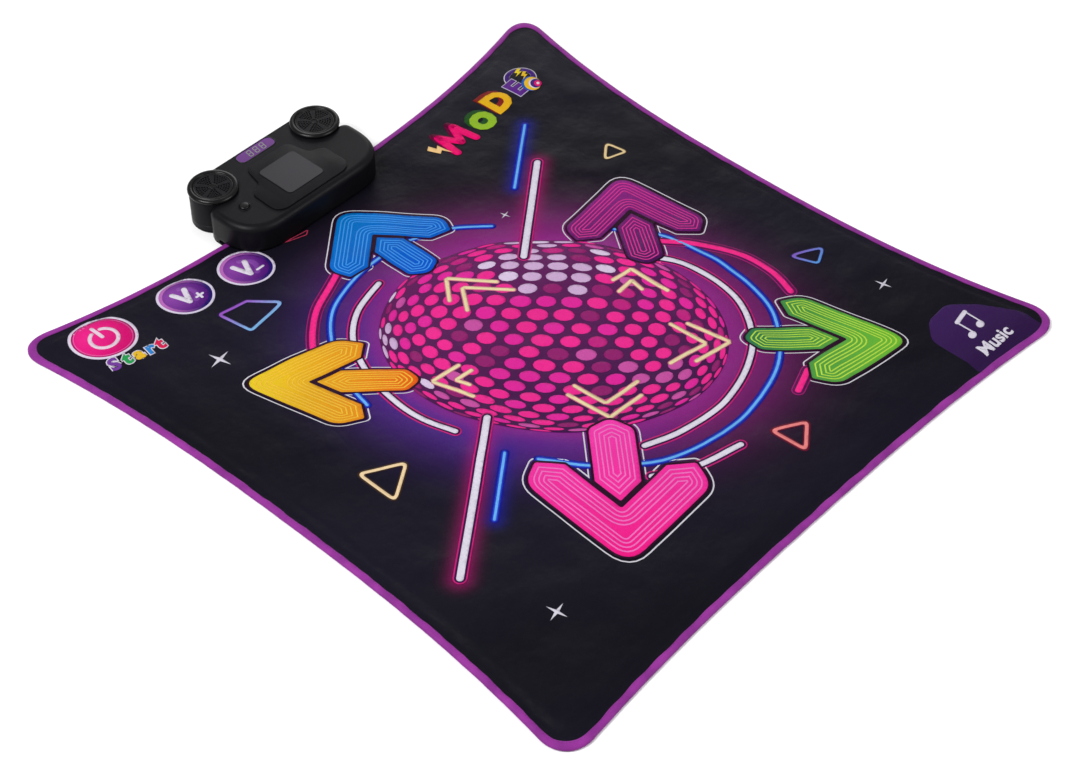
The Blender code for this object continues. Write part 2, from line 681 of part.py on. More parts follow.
def build_base():
    base = slab("console_base", console_outline(), BASE_LOW, BASE_HIGH, "black_plastic")
    join(base, *drums("drum", DRUM_RADIUS, BASE_LOW, BASE_HIGH), solver=THIN)

    lip_top = BASE_HIGH + LIP_HEIGHT
    lip = slab("lip", console_outline(WALL + GAP), BASE_HIGH - 0.0005, lip_top)
    outer = DRUM_RADIUS - WALL - GAP
    join(lip, *drums("drum", outer, BASE_HIGH - 0.0005, lip_top))
    cut(lip, slab("hollow", console_outline(WALL + GAP + LIP), 0, 0.02))
    cut(lip, *drums("hollow", outer - LIP, 0, 0.02))
    wide = 2 * CONSOLE_HALF
    cut(lip, box("front", (CONSOLE_X - wide, BEFORE_CONSOLE, 0), (CONSOLE_X + wide, MAT_SLOT_END + WALL, 0.02)))
    join(base, lip, solver=THIN)

    half_x, half_y = BAY_LENGTH / 2, BAY_DEPTH / 2
    bay = box(
        "bay",
        (CONSOLE_X - half_x - BAY_WALL, CELLS_Y - half_y - BAY_WALL, BASE_HIGH - 0.0005),
        (CONSOLE_X + half_x + BAY_WALL, CELLS_Y + half_y + BAY_WALL, BAY_ROOF + BAY_WALL),
    )
    bosses = [
        screw_cutter(place, BOSS_RADIUS, BASE_HIGH - 0.0005, BASE_LOW + DOOR_SCREW_LENGTH + 0.003)
        for place in door_screw_places().values()
    ]
    join(base, bay, *bosses, solver=THIN)
    recess = door_slabs(DOOR_CLEARANCE, 0, BASE_LOW + DOOR_THICKNESS + GAP)
    cut(base, join(*recess, solver=THIN), solver=THIN)
    cut(base, box(
        "well",
        (CONSOLE_X - half_x, CELLS_Y - half_y, 0),
        (CONSOLE_X + half_x, CELLS_Y + half_y, BAY_ROOF),
    ), solver=THIN)
    pilot = SCREW_RADIUS + SCREW_CLEARANCE
    head = SCREW_HEAD_RADIUS + SCREW_CLEARANCE
    for places, radius, high in (
        (door_screw_places(), pilot, BASE_LOW + DOOR_SCREW_LENGTH + 0.001),
        (CASE_SCREWS, pilot, 0.01),
        (CASE_SCREWS, head, BASE_LOW + SCREW_HEAD + GAP),
        (FEET, FOOT_RADIUS + FOOT_CLEARANCE, FOOT_HEIGHT + GAP),
    ):
        cut(base, *[screw_cutter(place, radius, 0, high) for place in places.values()], solver=THIN)


def build_clamp():
    """The bar under the mat's cover: the case screws squeeze the cover between it and the housing's rim."""
    low, high = BASE_HIGH + GAP, COVER_LOW - GAP
    near = CONSOLE_FRONT + 0.003
    bar = box("mat_clamp_bar", (CONSOLE_X - CLAMP_HALF, near, low), (CONSOLE_X + CLAMP_HALF, near + CLAMP_DEPTH, high),
              "black_plastic")
    front = [place for name, place in CASE_SCREWS.items() if "front" in name]
    cut(bar, *[screw_cutter(place, SCREW_RADIUS + SCREW_CLEARANCE, 0, 0.02) for place in front])
    cut(bar, tail_cutter(BEFORE_CONSOLE, CONSOLE_FRONT + 0.05, 0, low + TAIL_THICKNESS + 2 * GAP))


def build_speaker(x, label):
    low = GRILLE_LOW
    top = low + GRILLE_HEIGHT
    plate = low + GRILLE_PLATE
    inner = GRILLE_RADIUS - GRILLE_RIM
    grille = turned(
        f"speaker_grille_{label}", x, DRUM_Y,
        [
            (0, plate), (inner - 0.001, plate), (inner, top - 0.0006), (inner + 0.0015, top),
            (GRILLE_RADIUS - 0.0018, top - 0.0002), (GRILLE_RADIUS - 0.0004, top - 0.0014),
            (GRILLE_RADIUS, top - 0.003), (GRILLE_RADIUS - 0.0007, low), (0, low),
        ],
        "black_plastic", steps=DRUM_SIDES,
    )
    settled(grille)
    holes = []
    for sector in range(5):
        for ring, count in ((0.0105, 1), (0.016, 1), (0.0215, 2)):
            for index in range(count):
                angle = 2 * math.pi * (sector / 5 + (index - (count - 1) / 2) * 0.044)
                place = (x + ring * math.cos(angle), DRUM_Y + ring * math.sin(angle))
                holes.append(cylinder("hole", *place, GRILLE_HOLE, low - 0.001, top, sides=6))
    cut(grille, *holes)

    flange = SPEAKER_OPENING + FRAME_FLANGE - 0.0004
    outer, inner = SPEAKER_OPENING + 0.0008, SPEAKER_OPENING - 0.0004
    floor = FRAME_LOW
    turned(
        f"speaker_frame_{label}", x, DRUM_Y,
        [
            (flange, FRAME_TOP), (flange, FRAME_TOP - FRAME_WALL), (outer, FRAME_TOP - FRAME_WALL),
            (outer, FRAME_TOP - 0.0046), (MAGNET_RADIUS - 0.0003, floor), (COIL_RADIUS + 0.0009, floor),
            (COIL_RADIUS + 0.0009, floor + FRAME_WALL), (MAGNET_RADIUS - 0.0009, floor + FRAME_WALL),
            (inner, FRAME_TOP - 0.0040), (inner, FRAME_TOP),
        ],
        "steel", closed=True,
    )
    cylinder(f"speaker_magnet_{label}", x, DRUM_Y, MAGNET_RADIUS, floor - GAP - MAGNET_HEIGHT, floor - GAP,
             "magnet")
    rim = inner - CONE_CLEARANCE
    edge = FRAME_TOP - 0.0003
    throat = edge - 0.0072
    turned(
        f"speaker_cone_{label}", x, DRUM_Y,
        [
            (0, throat + 0.0018), (COIL_RADIUS, throat + 0.0008), (rim - 0.0028, edge), (rim, edge),
            (rim, edge - CONE_THICKNESS), (rim - 0.0026, edge - CONE_THICKNESS), (COIL_RADIUS, throat),
            (COIL_RADIUS, floor + FRAME_WALL + 0.0012), (COIL_RADIUS - CONE_THICKNESS, floor + FRAME_WALL + 0.0012),
            (COIL_RADIUS - CONE_THICKNESS, throat), (0, throat + 0.0010),
        ],
        "paper_cone",
    )


def build_display():
    low = CONSOLE_TOP - WINDOW_SINK - WINDOW_THICKNESS
    slab("display_window", rectangle(CONSOLE_X, WINDOW_Y, WINDOW_SIZE, WINDOW_SIZE[1] / 2 - GAP, 10),
         low, low + WINDOW_THICKNESS, "purple_window")
    length, depth, height = DIGITS_SIZE
    board_high = DISPLAY_BOARD_HIGH
    box("display_digits", (-length / 2, -depth / 2, board_high + GAP), (length / 2, depth / 2, board_high + GAP + height),
        "component", (CONSOLE_X, WINDOW_Y, 0))
    length, depth, height = DISPLAY_BOARD_SIZE
    box("display_board", (-length / 2, -depth / 2, board_high - height), (length / 2, depth / 2, board_high),
        "board", (CONSOLE_X, WINDOW_Y, 0))


def build_plate():
    corners = [
        (PLATE_LOW_HALF, PLATE_NEAR, 0.018), (PLATE_LOW_HALF - 0.002, PLATE_SHOULDER, 0.011),
        (PLATE_HIGH_HALF + 0.007, PLATE_SHOULDER + 0.006, 0.010), (PLATE_HIGH_HALF, PLATE_FAR, 0.012),
    ]
    corners += [(-x, y, radius) for x, y, radius in reversed(corners)]
    outline = [place + Vector((CONSOLE_X, 0)) for place in rounded(corners)]
    low = CONSOLE_TOP + GAP
    plate = slab("centre_plate", outline, low, low + PLATE_THICKNESS, "black_plastic")
    peg_x, peg_y = PEG_PLACE
    join(plate, *[screw_cutter((x, peg_y), PEG_RADIUS, low - PEG_LENGTH, low + PLATE_THICKNESS / 2)
                  for x in (-peg_x, peg_x)])
    low += PLATE_THICKNESS + GAP
    slab("centre_sticker", rectangle(CONSOLE_X, STICKER_Y, (STICKER_SIDE, STICKER_SIDE), STICKER_CORNER),
         low, low + STICKER_THICKNESS, "sticker")


def build_button():
    """The power button: a cap held under the roof by its flange, with a stem that presses a small switch."""
    switch_top = BOARD_HIGH + GAP + SWITCH_HEIGHT
    plunger_top = switch_top + PLUNGER_HEIGHT
    stem_low = plunger_top + BUTTON_TRAVEL + 0.0001
    flange_top = ROOF - GAP
    top = CONSOLE_TOP + BUTTON_RISE
    turned(
        "power_button", CONSOLE_X + BUTTON_PLACE[0], BUTTON_PLACE[1],
        [
            (0, top), (BUTTON_RADIUS - 0.0010, top), (BUTTON_RADIUS - 0.0003, top - 0.0003),
            (BUTTON_RADIUS, top - 0.0010), (BUTTON_RADIUS, flange_top), (BUTTON_RADIUS + BUTTON_FLANGE, flange_top),
            (BUTTON_RADIUS + BUTTON_FLANGE, flange_top - 0.0012), (STEM_RADIUS, flange_top - 0.0012),
            (STEM_RADIUS, stem_low), (0, stem_low),
        ],
        "black_plastic",
    )
    half = SWITCH_SIDE / 2
    x, y = CONSOLE_X + BUTTON_PLACE[0], BUTTON_PLACE[1]
    switch = box("button_switch", (x - half, y - half, BOARD_HIGH + GAP), (x + half, y + half, switch_top), "component")
    join(switch, cylinder("plunger", x, y, 0.0017, switch_top - 0.0005, plunger_top, sides=SCREW_SIDES))


def build_board():
    box("main_board", (BOARD_X[0], BOARD_Y[0], BOARD_LOW), (BOARD_X[1], BOARD_Y[1], BOARD_HIGH), "board",
        (CONSOLE_X, 0, 0))
    half = CHIP_SIDE / 2
    low = BOARD_HIGH + GAP
    middle = (BOARD_Y[0] + BOARD_Y[1]) / 2
    box("sound_chip", (-half, middle - half, low), (half, middle + half, low + CHIP_HEIGHT), "component",
        (CONSOLE_X, 0, 0))
    length, depth, height = CONNECTOR_SIZE
    box("film_connector", (-length / 2, CONNECTOR_Y - depth / 2, BOARD_LOW - GAP - height),
        (length / 2, CONNECTOR_Y + depth / 2, BOARD_LOW - GAP), "component", (CONSOLE_X, 0, 0))


def build_cells():
    """Three cells in series, lying along X and turned end for end, with their plates and springs."""
    plate_face = BAY_LENGTH / 2 - GAP - CONTACT_THICKNESS
    nub_tip = plate_face - GAP
    for index, y in enumerate((CELLS_Y - CELL_PITCH, CELLS_Y, CELLS_Y + CELL_PITCH)):
        side = -1 if index == 1 else 1
        shoulder = nub_tip - CELL_NUB
        cell = turned(
            f"battery_{index + 1}", 0, 0,
            [
                (0, nub_tip), (CELL_NUB_RADIUS, nub_tip), (CELL_NUB_RADIUS, shoulder),
                (CELL_RADIUS - 0.0005, shoulder), (CELL_RADIUS, shoulder - 0.0005),
                (CELL_RADIUS, shoulder - CELL_LENGTH), (0, shoulder - CELL_LENGTH),
            ],
            "cell_jacket",
        )
        cell.location = (CONSOLE_X, y, CELL_Z)
        cell.rotation_euler.y = side * math.pi / 2

        start = plate_face - GAP - SPRING_WIRE
        end = CELL_LENGTH - shoulder + GAP + SPRING_WIRE
        curve = bpy.data.curves.new(f"battery_spring_{index + 1}", "CURVE")
        curve.dimensions = "3D"
        curve.bevel_depth = SPRING_WIRE
        curve.bevel_resolution = 2
        curve.use_fill_caps = True
        spline = curve.splines.new("POLY")
        count = int(SPRING_TURNS * 8) + 1
        spline.points.add(count - 1)
        for step, point in enumerate(spline.points):
            share = step / (count - 1)
            angle = 2 * math.pi * SPRING_TURNS * share
            radius = SPRING_RADIUS + (SPRING_TIP_RADIUS - SPRING_RADIUS) * share
            along = start + (end - start) * share
            point.co = (-side * along, radius * math.cos(angle), radius * math.sin(angle), 1)
        curve.materials.append(MATERIALS["steel"])
        spring = bpy.data.objects.new(curve.name, curve)
        PARTS.objects.link(spring)
        spring.location = (CONSOLE_X, y, CELL_Z)

    half = CONTACT_SIDE / 2
    near, middle, far = CELLS_Y - CELL_PITCH, CELLS_Y, CELLS_Y + CELL_PITCH
    plates = {
        "contact_link_right": (1, near - half, middle + half),
        "contact_plus": (1, far - half, far + half),
        "contact_minus": (-1, near - half, near + half),
        "contact_link_left": (-1, middle - half, far + half),
    }
    for name, (side, low_y, high_y) in plates.items():
        ends = sorted((side * plate_face, side * (plate_face + CONTACT_THICKNESS)))
        box(name, (ends[0], low_y, CELL_Z - half), (ends[1], high_y, CELL_Z + half), "steel", (CONSOLE_X, 0, 0))


def screw(name, place, length):
    """A pan-head screw standing head down in the base."""
    return turned(
        name, CONSOLE_X + place[0], place[1],
        [
            (0, BASE_LOW + length), (SCREW_RADIUS * 0.6, BASE_LOW + length),
            (SCREW_RADIUS, BASE_LOW + length - 0.0012), (SCREW_RADIUS, BASE_LOW + SCREW_HEAD),
            (SCREW_HEAD_RADIUS, BASE_LOW + SCREW_HEAD), (SCREW_HEAD_RADIUS, BASE_LOW + 0.0003),
            (SCREW_HEAD_RADIUS - 0.0004, BASE_LOW), (0, BASE_LOW),
        ],
        "steel", steps=SCREW_SIDES,
    )


def build_door():
    plate, tongue = door_slabs(0, BASE_LOW, BASE_LOW + DOOR_THICKNESS)
    plate.name = plate.data.name = "battery_door"
    plate.data.materials.append(MATERIALS["black_plastic"])
    join(plate, tongue, solver=THIN)
    places = door_screw_places()
    head_seat = BASE_LOW + SCREW_HEAD + GAP / 2
    for radius, high in ((SCREW_RADIUS + SCREW_CLEARANCE, 0.01), (SCREW_HEAD_RADIUS + SCREW_CLEARANCE, head_seat)):
        cut(plate, *[screw_cutter(place, radius, 0, high) for place in places.values()], solver=THIN)
    for label, place in places.items():
        screw(f"door_screw_{label}", place, DOOR_SCREW_LENGTH)


def build_fixings():
    for name, place in CASE_SCREWS.items():
        screw(name, place, CASE_SCREW_LENGTH)
    for name, place in FEET.items():
        cylinder(name, CONSOLE_X + place[0], place[1], FOOT_RADIUS, 0, FOOT_HEIGHT, "rubber", sides=SCREW_SIDES)


build_mat()
build_tail()
build_shell()
build_base()
build_clamp()
both_sides(build_speaker)
build_display()
build_plate()
build_button()
build_board()
build_cells()
build_door()
build_fixings()
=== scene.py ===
# %% [markdown]
# # A dance rhythm machine
#
# The object is a padded play mat with a bright print and a small black console on its far edge. The solids that
# are loaded here give every size, and each visible piece is then made again with the detail that it really has.

import math

import bmesh
import bpy
import numpy as np
from mathutils import Matrix, Vector


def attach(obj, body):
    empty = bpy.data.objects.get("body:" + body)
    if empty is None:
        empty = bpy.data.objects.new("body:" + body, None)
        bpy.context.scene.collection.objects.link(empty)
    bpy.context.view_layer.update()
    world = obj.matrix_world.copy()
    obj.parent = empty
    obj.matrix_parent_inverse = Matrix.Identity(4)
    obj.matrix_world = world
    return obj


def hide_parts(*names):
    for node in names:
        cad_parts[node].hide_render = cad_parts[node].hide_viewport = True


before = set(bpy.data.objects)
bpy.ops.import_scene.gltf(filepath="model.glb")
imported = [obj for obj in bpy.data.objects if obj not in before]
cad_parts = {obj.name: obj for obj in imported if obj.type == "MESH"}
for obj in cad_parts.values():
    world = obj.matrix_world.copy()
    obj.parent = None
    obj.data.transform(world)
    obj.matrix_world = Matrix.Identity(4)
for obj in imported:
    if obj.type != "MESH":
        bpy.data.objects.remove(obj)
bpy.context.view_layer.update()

# %% [markdown]
# ## The camera
#
# The mat is seen from one corner and from well above. A camera is a position and three axes: to the right, up, and
# back towards the viewer. Written as the columns of a matrix they place it without any trial turns.

# %% Camera
SENSOR_WIDTH = 36.0
LENS = 80.80
CAMERA_PLACE = Vector((-1.5852, -1.4583, 2.0909))
CAMERA_RIGHT = Vector((0.6776, -0.7355, 0.0))
CAMERA_BACK = Vector((-0.5158, -0.4752, 0.7128))


def stand(name, data):
    """A new object in the scene, at the origin."""
    made = bpy.data.objects.new(name, data)
    bpy.context.scene.collection.objects.link(made)
    return made


camera_data = bpy.data.cameras.new("view")
camera_data.sensor_width, camera_data.lens = SENSOR_WIDTH, LENS
camera = stand("view", camera_data)
right = CAMERA_RIGHT.normalized()
back = (CAMERA_BACK - right * CAMERA_BACK.dot(right)).normalized()
turn = Matrix((right, back.cross(right), back)).transposed()
camera.matrix_world = Matrix.Translation(CAMERA_PLACE) @ turn.to_4x4()
bpy.context.scene.camera = camera
print("camera:", tuple(round(c, 3) for c in camera.location))

# %% [markdown]
# ## The studio
#
# A pale floor that runs out of sight and a few large soft lights give gentle shading. The dark satin of the mat
# only shows its wrinkles where it mirrors something bright, so one light stands low and far behind it.

# %% Studio
FLOOR_HALF, FLOOR_DROP, SKY_POWER = 9.0, 0.0002, 0.42


def soft_light(name, place, target, size, power):
    """A round lamp at a place, turned to look at a target."""
    lamp = bpy.data.lights.new(name, "AREA")
    lamp.shape, lamp.size, lamp.energy = "DISK", size, power
    facing = (Vector(place) - Vector(target)).to_track_quat("Z", "Y").to_matrix()
    stand(name, lamp).matrix_world = Matrix.Translation(place) @ facing.to_4x4()


soft_light("key_light", (-1.9, 0.6, 2.6), (0, 0, 0), 1.8, 105)
soft_light("fill_light", (1.2, -2.6, 2.4), (0, 0, 0), 2.2, 62)
soft_light("rim_light", (2.6, 2.6, 1.5), (0, 0.1, 0), 2.0, 27)

world = bpy.data.worlds.new("studio")
world.use_nodes = True
sky = world.node_tree.nodes["Background"].inputs
sky["Color"].default_value, sky["Strength"].default_value = (1.0, 1.0, 1.0, 1.0), SKY_POWER
bpy.context.scene.world = world
bpy.context.scene.view_settings.view_transform = "Standard"

bm = bmesh.new()
bmesh.ops.create_grid(bm, x_segments=1, y_segments=1, size=FLOOR_HALF)
bmesh.ops.translate(bm, verts=bm.verts[:], vec=(0, 0, -FLOOR_DROP))
floor_mesh = bpy.data.meshes.new("floor")
bm.to_mesh(floor_mesh)
bm.free()
floor = stand("floor", floor_mesh)

# %% [markdown]
# ## Materials as small node trees
#
# A finish is a shader with a little life in it: a colour that varies, a roughness that varies, and a bump. Each
# material below is written as a few nodes. `build` makes one node and sets it, and `wire` joins two sockets.

# %% Node helpers
MM = 0.001


def srgb(*values):
    """A colour as it is read off a screen, 0 to 255, made linear."""
    return tuple(v / 255 / 12.92 if v < 10.5 else ((v / 255 + 0.055) / 1.055) ** 2.4 for v in values)


def build(material, kind, **settings):
    made = material.node_tree.nodes.new("ShaderNode" + kind)
    for name, value in settings.items():
        if hasattr(made, name):
            setattr(made, name, value)
        else:
            made.inputs[name.replace("_", " ")].default_value = value
    return made


def wire(material, source, socket, target, into):
    material.node_tree.links.new(source.outputs[socket], target.inputs[into])


def new_material(name, **sockets):
    """A material, its shader, and Object coordinates, which are metres on the real object."""
    material = bpy.data.materials.new(name)
    material.use_nodes = True
    shader = material.node_tree.nodes["Principled BSDF"]
    for socket, value in sockets.items():
        shader.inputs[socket.replace("_", " ")].default_value = value
    place = build(material, "TexCoord")
    return material, shader, place


def ramp(material, source, socket, low, high, start=0.35, end=0.65):
    """Two colours or greys spread over part of a pattern's range."""
    made = build(material, "ValToRGB")
    for stop, position, value in zip(made.color_ramp.elements, (start, end), (low, high)):
        stop.position = position
        stop.color = (*value, 1.0) if isinstance(value, tuple) else (value, value, value, 1.0)
    wire(material, source, socket, made, "Fac")
    return made


def pattern(material, place, kind, **settings):
    """A texture node that reads Object coordinates."""
    made = build(material, "Tex" + kind, **settings)
    wire(material, place, "Object", made, "Vector")
    return made


def noise_at(material, place, scale, detail=3.0):
    return pattern(material, place, "Noise", Scale=scale, Detail=detail)


def bump(material, source, socket, distance, strength=1.0, under=None):
    """A bump in metres, on top of another bump if one is given."""
    made = build(material, "Bump", Distance=distance, Strength=strength)
    wire(material, source, socket, made, "Height")
    if under:
        wire(material, under, "Normal", made, "Normal")
    return made


def vary(material, shader, place, into, scale, detail, low, high):
    """Moves a socket of the shader between two colours or two greys, with noise."""
    wire(material, ramp(material, noise_at(material, place, scale, detail), "Fac", low, high), "Color", shader, into)


# %% Floor finish
floor_paint, shader, place = new_material("floor_paint", Roughness=0.85)
vary(floor_paint, shader, place, "Base Color", 1.4, 3.0, (0.86, 0.86, 0.865), (0.89, 0.89, 0.89))
floor.data.materials.append(floor_paint)
print("floor nodes:", len(floor_paint.node_tree.nodes))

# %% [markdown]
# ## How the mat lies
#
# The mat is cut as a square with round corners, and sewing draws its four sides in. One pair of functions goes from
# the cut square to the mat as it lies and back, so the edge, the cloth, the tape and the print all share one shape.

# %% The outline of the mat
MAT_HALF = 0.465
MAT_CORNER = 0.050
PULL_RIGHT, PULL_LEFT, PULL_FAR, PULL_NEAR = 0.052, 0.036, 0.060, 0.024
SIDE_STEPS, CORNER_STEPS = 150, 16


def pull(x, y):
    """How far a point of the cut square has drawn in. The middle of a side moves most."""
    along_x, along_y = x / MAT_HALF, y / MAT_HALF
    reach_x = np.where(along_x > 0, PULL_RIGHT, PULL_LEFT)
    reach_y = np.where(along_y > 0, PULL_FAR, PULL_NEAR)
    in_x = reach_x * (1 - np.minimum(np.abs(along_y), 1) ** 2.5) * along_x
    in_y = reach_y * (1 - np.minimum(np.abs(along_x), 1) ** 2.5) * along_y
    return in_x, in_y


def cut_place(x, y):
    """The point of the cut square that now lies at x, y."""
    flat_x, flat_y = x, y
    for _ in range(14):
        in_x, in_y = pull(flat_x, flat_y)
        flat_x, flat_y = x + in_x, y + in_y
    return flat_x, flat_y


def inside_edge(x, y):
    """The distance in from the edge of the mat, measured on the cut square."""
    flat_x, flat_y = cut_place(x, y)
    over_x = np.abs(flat_x) - (MAT_HALF - MAT_CORNER)
    over_y = np.abs(flat_y) - (MAT_HALF - MAT_CORNER)
    past = np.hypot(np.maximum(over_x, 0), np.maximum(over_y, 0)) + np.minimum(np.maximum(over_x, over_y), 0)
    return MAT_CORNER - past


def mat_ring(distance):
    """The mat's outline, drawn in by a distance, with the same number of points every time."""
    half, corner = MAT_HALF - distance, MAT_CORNER - distance
    side = np.linspace(corner - half, half - corner, SIDE_STEPS, endpoint=False)
    angle = np.linspace(0, math.pi / 2, CORNER_STEPS, endpoint=False)
    x = np.concatenate((np.full(SIDE_STEPS, half), half - corner + corner * np.cos(angle)))
    y = np.concatenate((side, half - corner + corner * np.sin(angle)))
    quarters = [(x, y), (-y, x), (-x, -y), (y, -x)]
    x = np.concatenate([q[0] for q in quarters])
    y = np.concatenate([q[1] for q in quarters])
    in_x, in_y = pull(x, y)
    return np.column_stack((x - in_x, y - in_y))


print("edge points:", len(mat_ring(0.0)), "mat span:", np.ptp(mat_ring(0.0), axis=0).round(4))

# %% [markdown]
# ## The height of the cloth
#
# A padded mat that was folded for its box keeps soft creases where it was folded, and the satin cover ripples a
# little over the foam. Sums of slow waves give the ripples, and a narrow hump gives each crease. Both die away at
# the sewn edge and under the console, where the cloth is held down.

# %% Height of the cover
HEM, COVER_TOP = 0.0049, 0.0086
RISE_START, RISE_END = 0.0148, 0.0300
CONSOLE_MIDDLE, CONSOLE_REACH = (-0.035, 0.4205), (0.123, 0.0705)
BROAD_HIGH, FINE_HIGH, SOFTEN = 0.00034, 0.0010, 0.0005
CREASE_HIGH, CREASE_WIDE, CREASE_WAVE = 0.0005, 0.012, 0.21
ripple_chance = np.random.default_rng(21)
BROAD = [(ripple_chance.uniform(0.16, 0.36), *ripple_chance.uniform(0, 6.28, 2)) for _ in range(7)]
FINE = [(ripple_chance.uniform(0.060, 0.130), *ripple_chance.uniform(0, 6.28, 2)) for _ in range(10)]


def smooth(value, low, high):
    t = np.clip((value - low) / (high - low), 0, 1)
    return t * t * (3 - 2 * t)


def wave(x, y, length, angle, phase):
    return np.sin(2 * math.pi * (x * np.cos(angle) + y * np.sin(angle)) / length + phase)


def from_console(x, y):
    """How far a point is outside the console's footprint."""
    past_x = np.maximum(np.abs(x - CONSOLE_MIDDLE[0]) - CONSOLE_REACH[0], 0)
    past_y = np.maximum(np.abs(y - CONSOLE_MIDDLE[1]) - CONSOLE_REACH[1], 0)
    return np.hypot(past_x, past_y)


def fade(distance, width):
    """One at no distance, dying away over a width."""
    return np.exp(-((distance / width) ** 2))


def ripples(x, y):
    height = sum(BROAD_HIGH * wave(x, y, *one) for one in BROAD)
    for ridge, gate in zip(FINE, BROAD[::-1] + BROAD):
        height = height + FINE_HIGH * (0.5 + 0.5 * wave(x, y, *ridge)) ** 2 * (0.5 + 0.5 * wave(y, x, *gate)) ** 2
    flat_x, flat_y = cut_place(x, y)
    for line in (-MAT_HALF / 2, 0.0, MAT_HALF / 2):
        for across, along in ((flat_x, flat_y), (flat_y, flat_x)):
            uneven = 0.6 + 0.4 * wave(along, line, CREASE_WAVE, 0, line * 40)
            height = height + CREASE_HIGH * fade(across - line, CREASE_WIDE) * uneven
    return SOFTEN * np.log1p(np.exp(height / SOFTEN))


def cover_height(x, y):
    edge = inside_edge(x, y)
    calm = smooth(edge, 0.016, 0.075) * smooth(from_console(x, y), 0.002, 0.06)
    return HEM + (COVER_TOP - HEM) * smooth(edge, RISE_START, RISE_END) + ripples(x, y) * calm


middle = np.linspace(-0.3, 0.3, 60)
print("ripples:", ripples(middle, middle * 0).min().round(5), "to", ripples(middle, middle * 0).max().round(5))

# %% [markdown]
# ## One grid for the cloth and for all that is printed on it
#
# Ink has no thickness of its own, so a printed shape must follow the cloth exactly. The cloth is one flat face cut
# along the lines of a square grid, and every printed shape is cut along the same lines before both are raised. Each
# cut passes only the faces that cross its line, which keeps it fast.

# %% Cut along the grid
CELL = 0.005


def first_line(face, axis, after, cell):
    low = min(v.co[axis] for v in face.verts)
    high = max(v.co[axis] for v in face.verts)
    line = max(math.floor(low / cell + 0.001) + 1, after)
    return line if line * cell < high - 1e-6 else None


def cut_along(bm, axis, cell):
    """Cuts the faces of a flat mesh along every grid line across one axis."""
    normal = Vector((1 - axis, axis, 0))
    waiting = {}

    def wait(face, after):
        line = first_line(face, axis, after, cell)
        if line is not None:
            waiting.setdefault(line, []).append(face)

    for face in bm.faces:
        wait(face, -100000)
    while waiting:
        line = min(waiting)
        faces = waiting.pop(line)
        rims = {part for f in faces for part in (*f.verts, *f.edges)}
        cut = bmesh.ops.bisect_plane(
            bm, geom=faces + list(rims), dist=1e-7, plane_co=normal * line * cell, plane_no=normal
        )
        for part in cut["geom"]:
            if isinstance(part, bmesh.types.BMFace):
                wait(part, line + 1)


def cut_cells(bm, cell=CELL):
    """Cuts a flat mesh along both ways of the grid and returns the places of its points."""
    cut_along(bm, 0, cell)
    cut_along(bm, 1, cell)
    return np.array([v.co[:2] for v in bm.verts])


# %% [markdown]
# ## Two helpers for every shape
#
# A finished bmesh becomes a piece in one step, with its finish, thickness and body. Tape, housing, plates and
# printed bands are each a closed ring of edges that is extruded again and again, so `loft` does that for all of them.

# %% Making a piece
def add_piece(name, bm, material, body="machine", smooth=True, sharp=None, thickness=None):
    """Turns a bmesh into a piece that rides on a body. A sheet gets its thickness below the face that is seen."""
    mesh = bpy.data.meshes.new(name)
    bm.to_mesh(mesh)
    bm.free()
    piece = stand(name, mesh)
    mesh.materials.append(material)
    mesh.polygons.foreach_set("use_smooth", [smooth] * len(mesh.polygons))
    if sharp:
        mesh.set_sharp_from_angle(angle=math.radians(sharp))
    if thickness:
        wall = piece.modifiers.new("thickness", "SOLIDIFY")
        wall.thickness, wall.offset = thickness, -1
    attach(piece, body)
    return piece


def set_ink(piece, colours):
    """Stores one colour for each point of a piece."""
    ink = piece.data.attributes.new("ink", "FLOAT_COLOR", "POINT")
    ink.data.foreach_set("color", np.column_stack((colours, np.ones(len(colours)))).ravel().astype(np.float32))


# %% Rings of edges
def level(outline, height=0.0):
    """An outline in millimetres, as places at one height."""
    return np.column_stack((outline, np.full(len(outline), height))) * MM


def closed_ring(bm, places):
    verts = [bm.verts.new(place) for place in places]
    return verts, [bm.edges.new(pair) for pair in zip(verts, verts[1:] + verts[:1])]


def loft(bm, rings):
    """Carries a ring of edges through rings with equal numbers of points. Returns all points and the last edges."""
    verts, edges = closed_ring(bm, rings[0])
    every = list(verts)
    for ring in rings[1:]:
        made = bmesh.ops.extrude_edge_only(bm, edges=edges)["geom"]
        near = {tuple(v.co): i for i, v in enumerate(verts)}
        fresh = {near[tuple(v.co)]: v for v in made if isinstance(v, bmesh.types.BMVert)}
        verts = [fresh[i] for i in range(len(verts))]
        new = set(verts)
        edges = [e for e in made if isinstance(e, bmesh.types.BMEdge) and new.issuperset(e.verts)]
        for vert, place in zip(verts, ring):
            vert.co = place
        every += verts
    return every, edges


def close_up(bm, gap=0.000002):
    """Merges points that meet, and turns every face outwards."""
    bmesh.ops.remove_doubles(bm, verts=bm.verts[:], dist=gap)
    bmesh.ops.recalc_face_normals(bm, faces=bm.faces[:])


def face_up(bm):
    if sum(f.normal.z * f.calc_area() for f in bm.faces) < 0:
        bmesh.ops.reverse_faces(bm, faces=bm.faces[:])


# %% [markdown]
# ## Printed satin
#
# The cover is black polyester satin printed with dye, so ink and cloth share one finish: a satin gloss, a fine
# plain weave, threads that vary a little in tone, and small puckers. The colour comes from an attribute of the mesh
# called ink, and everything else from nodes.

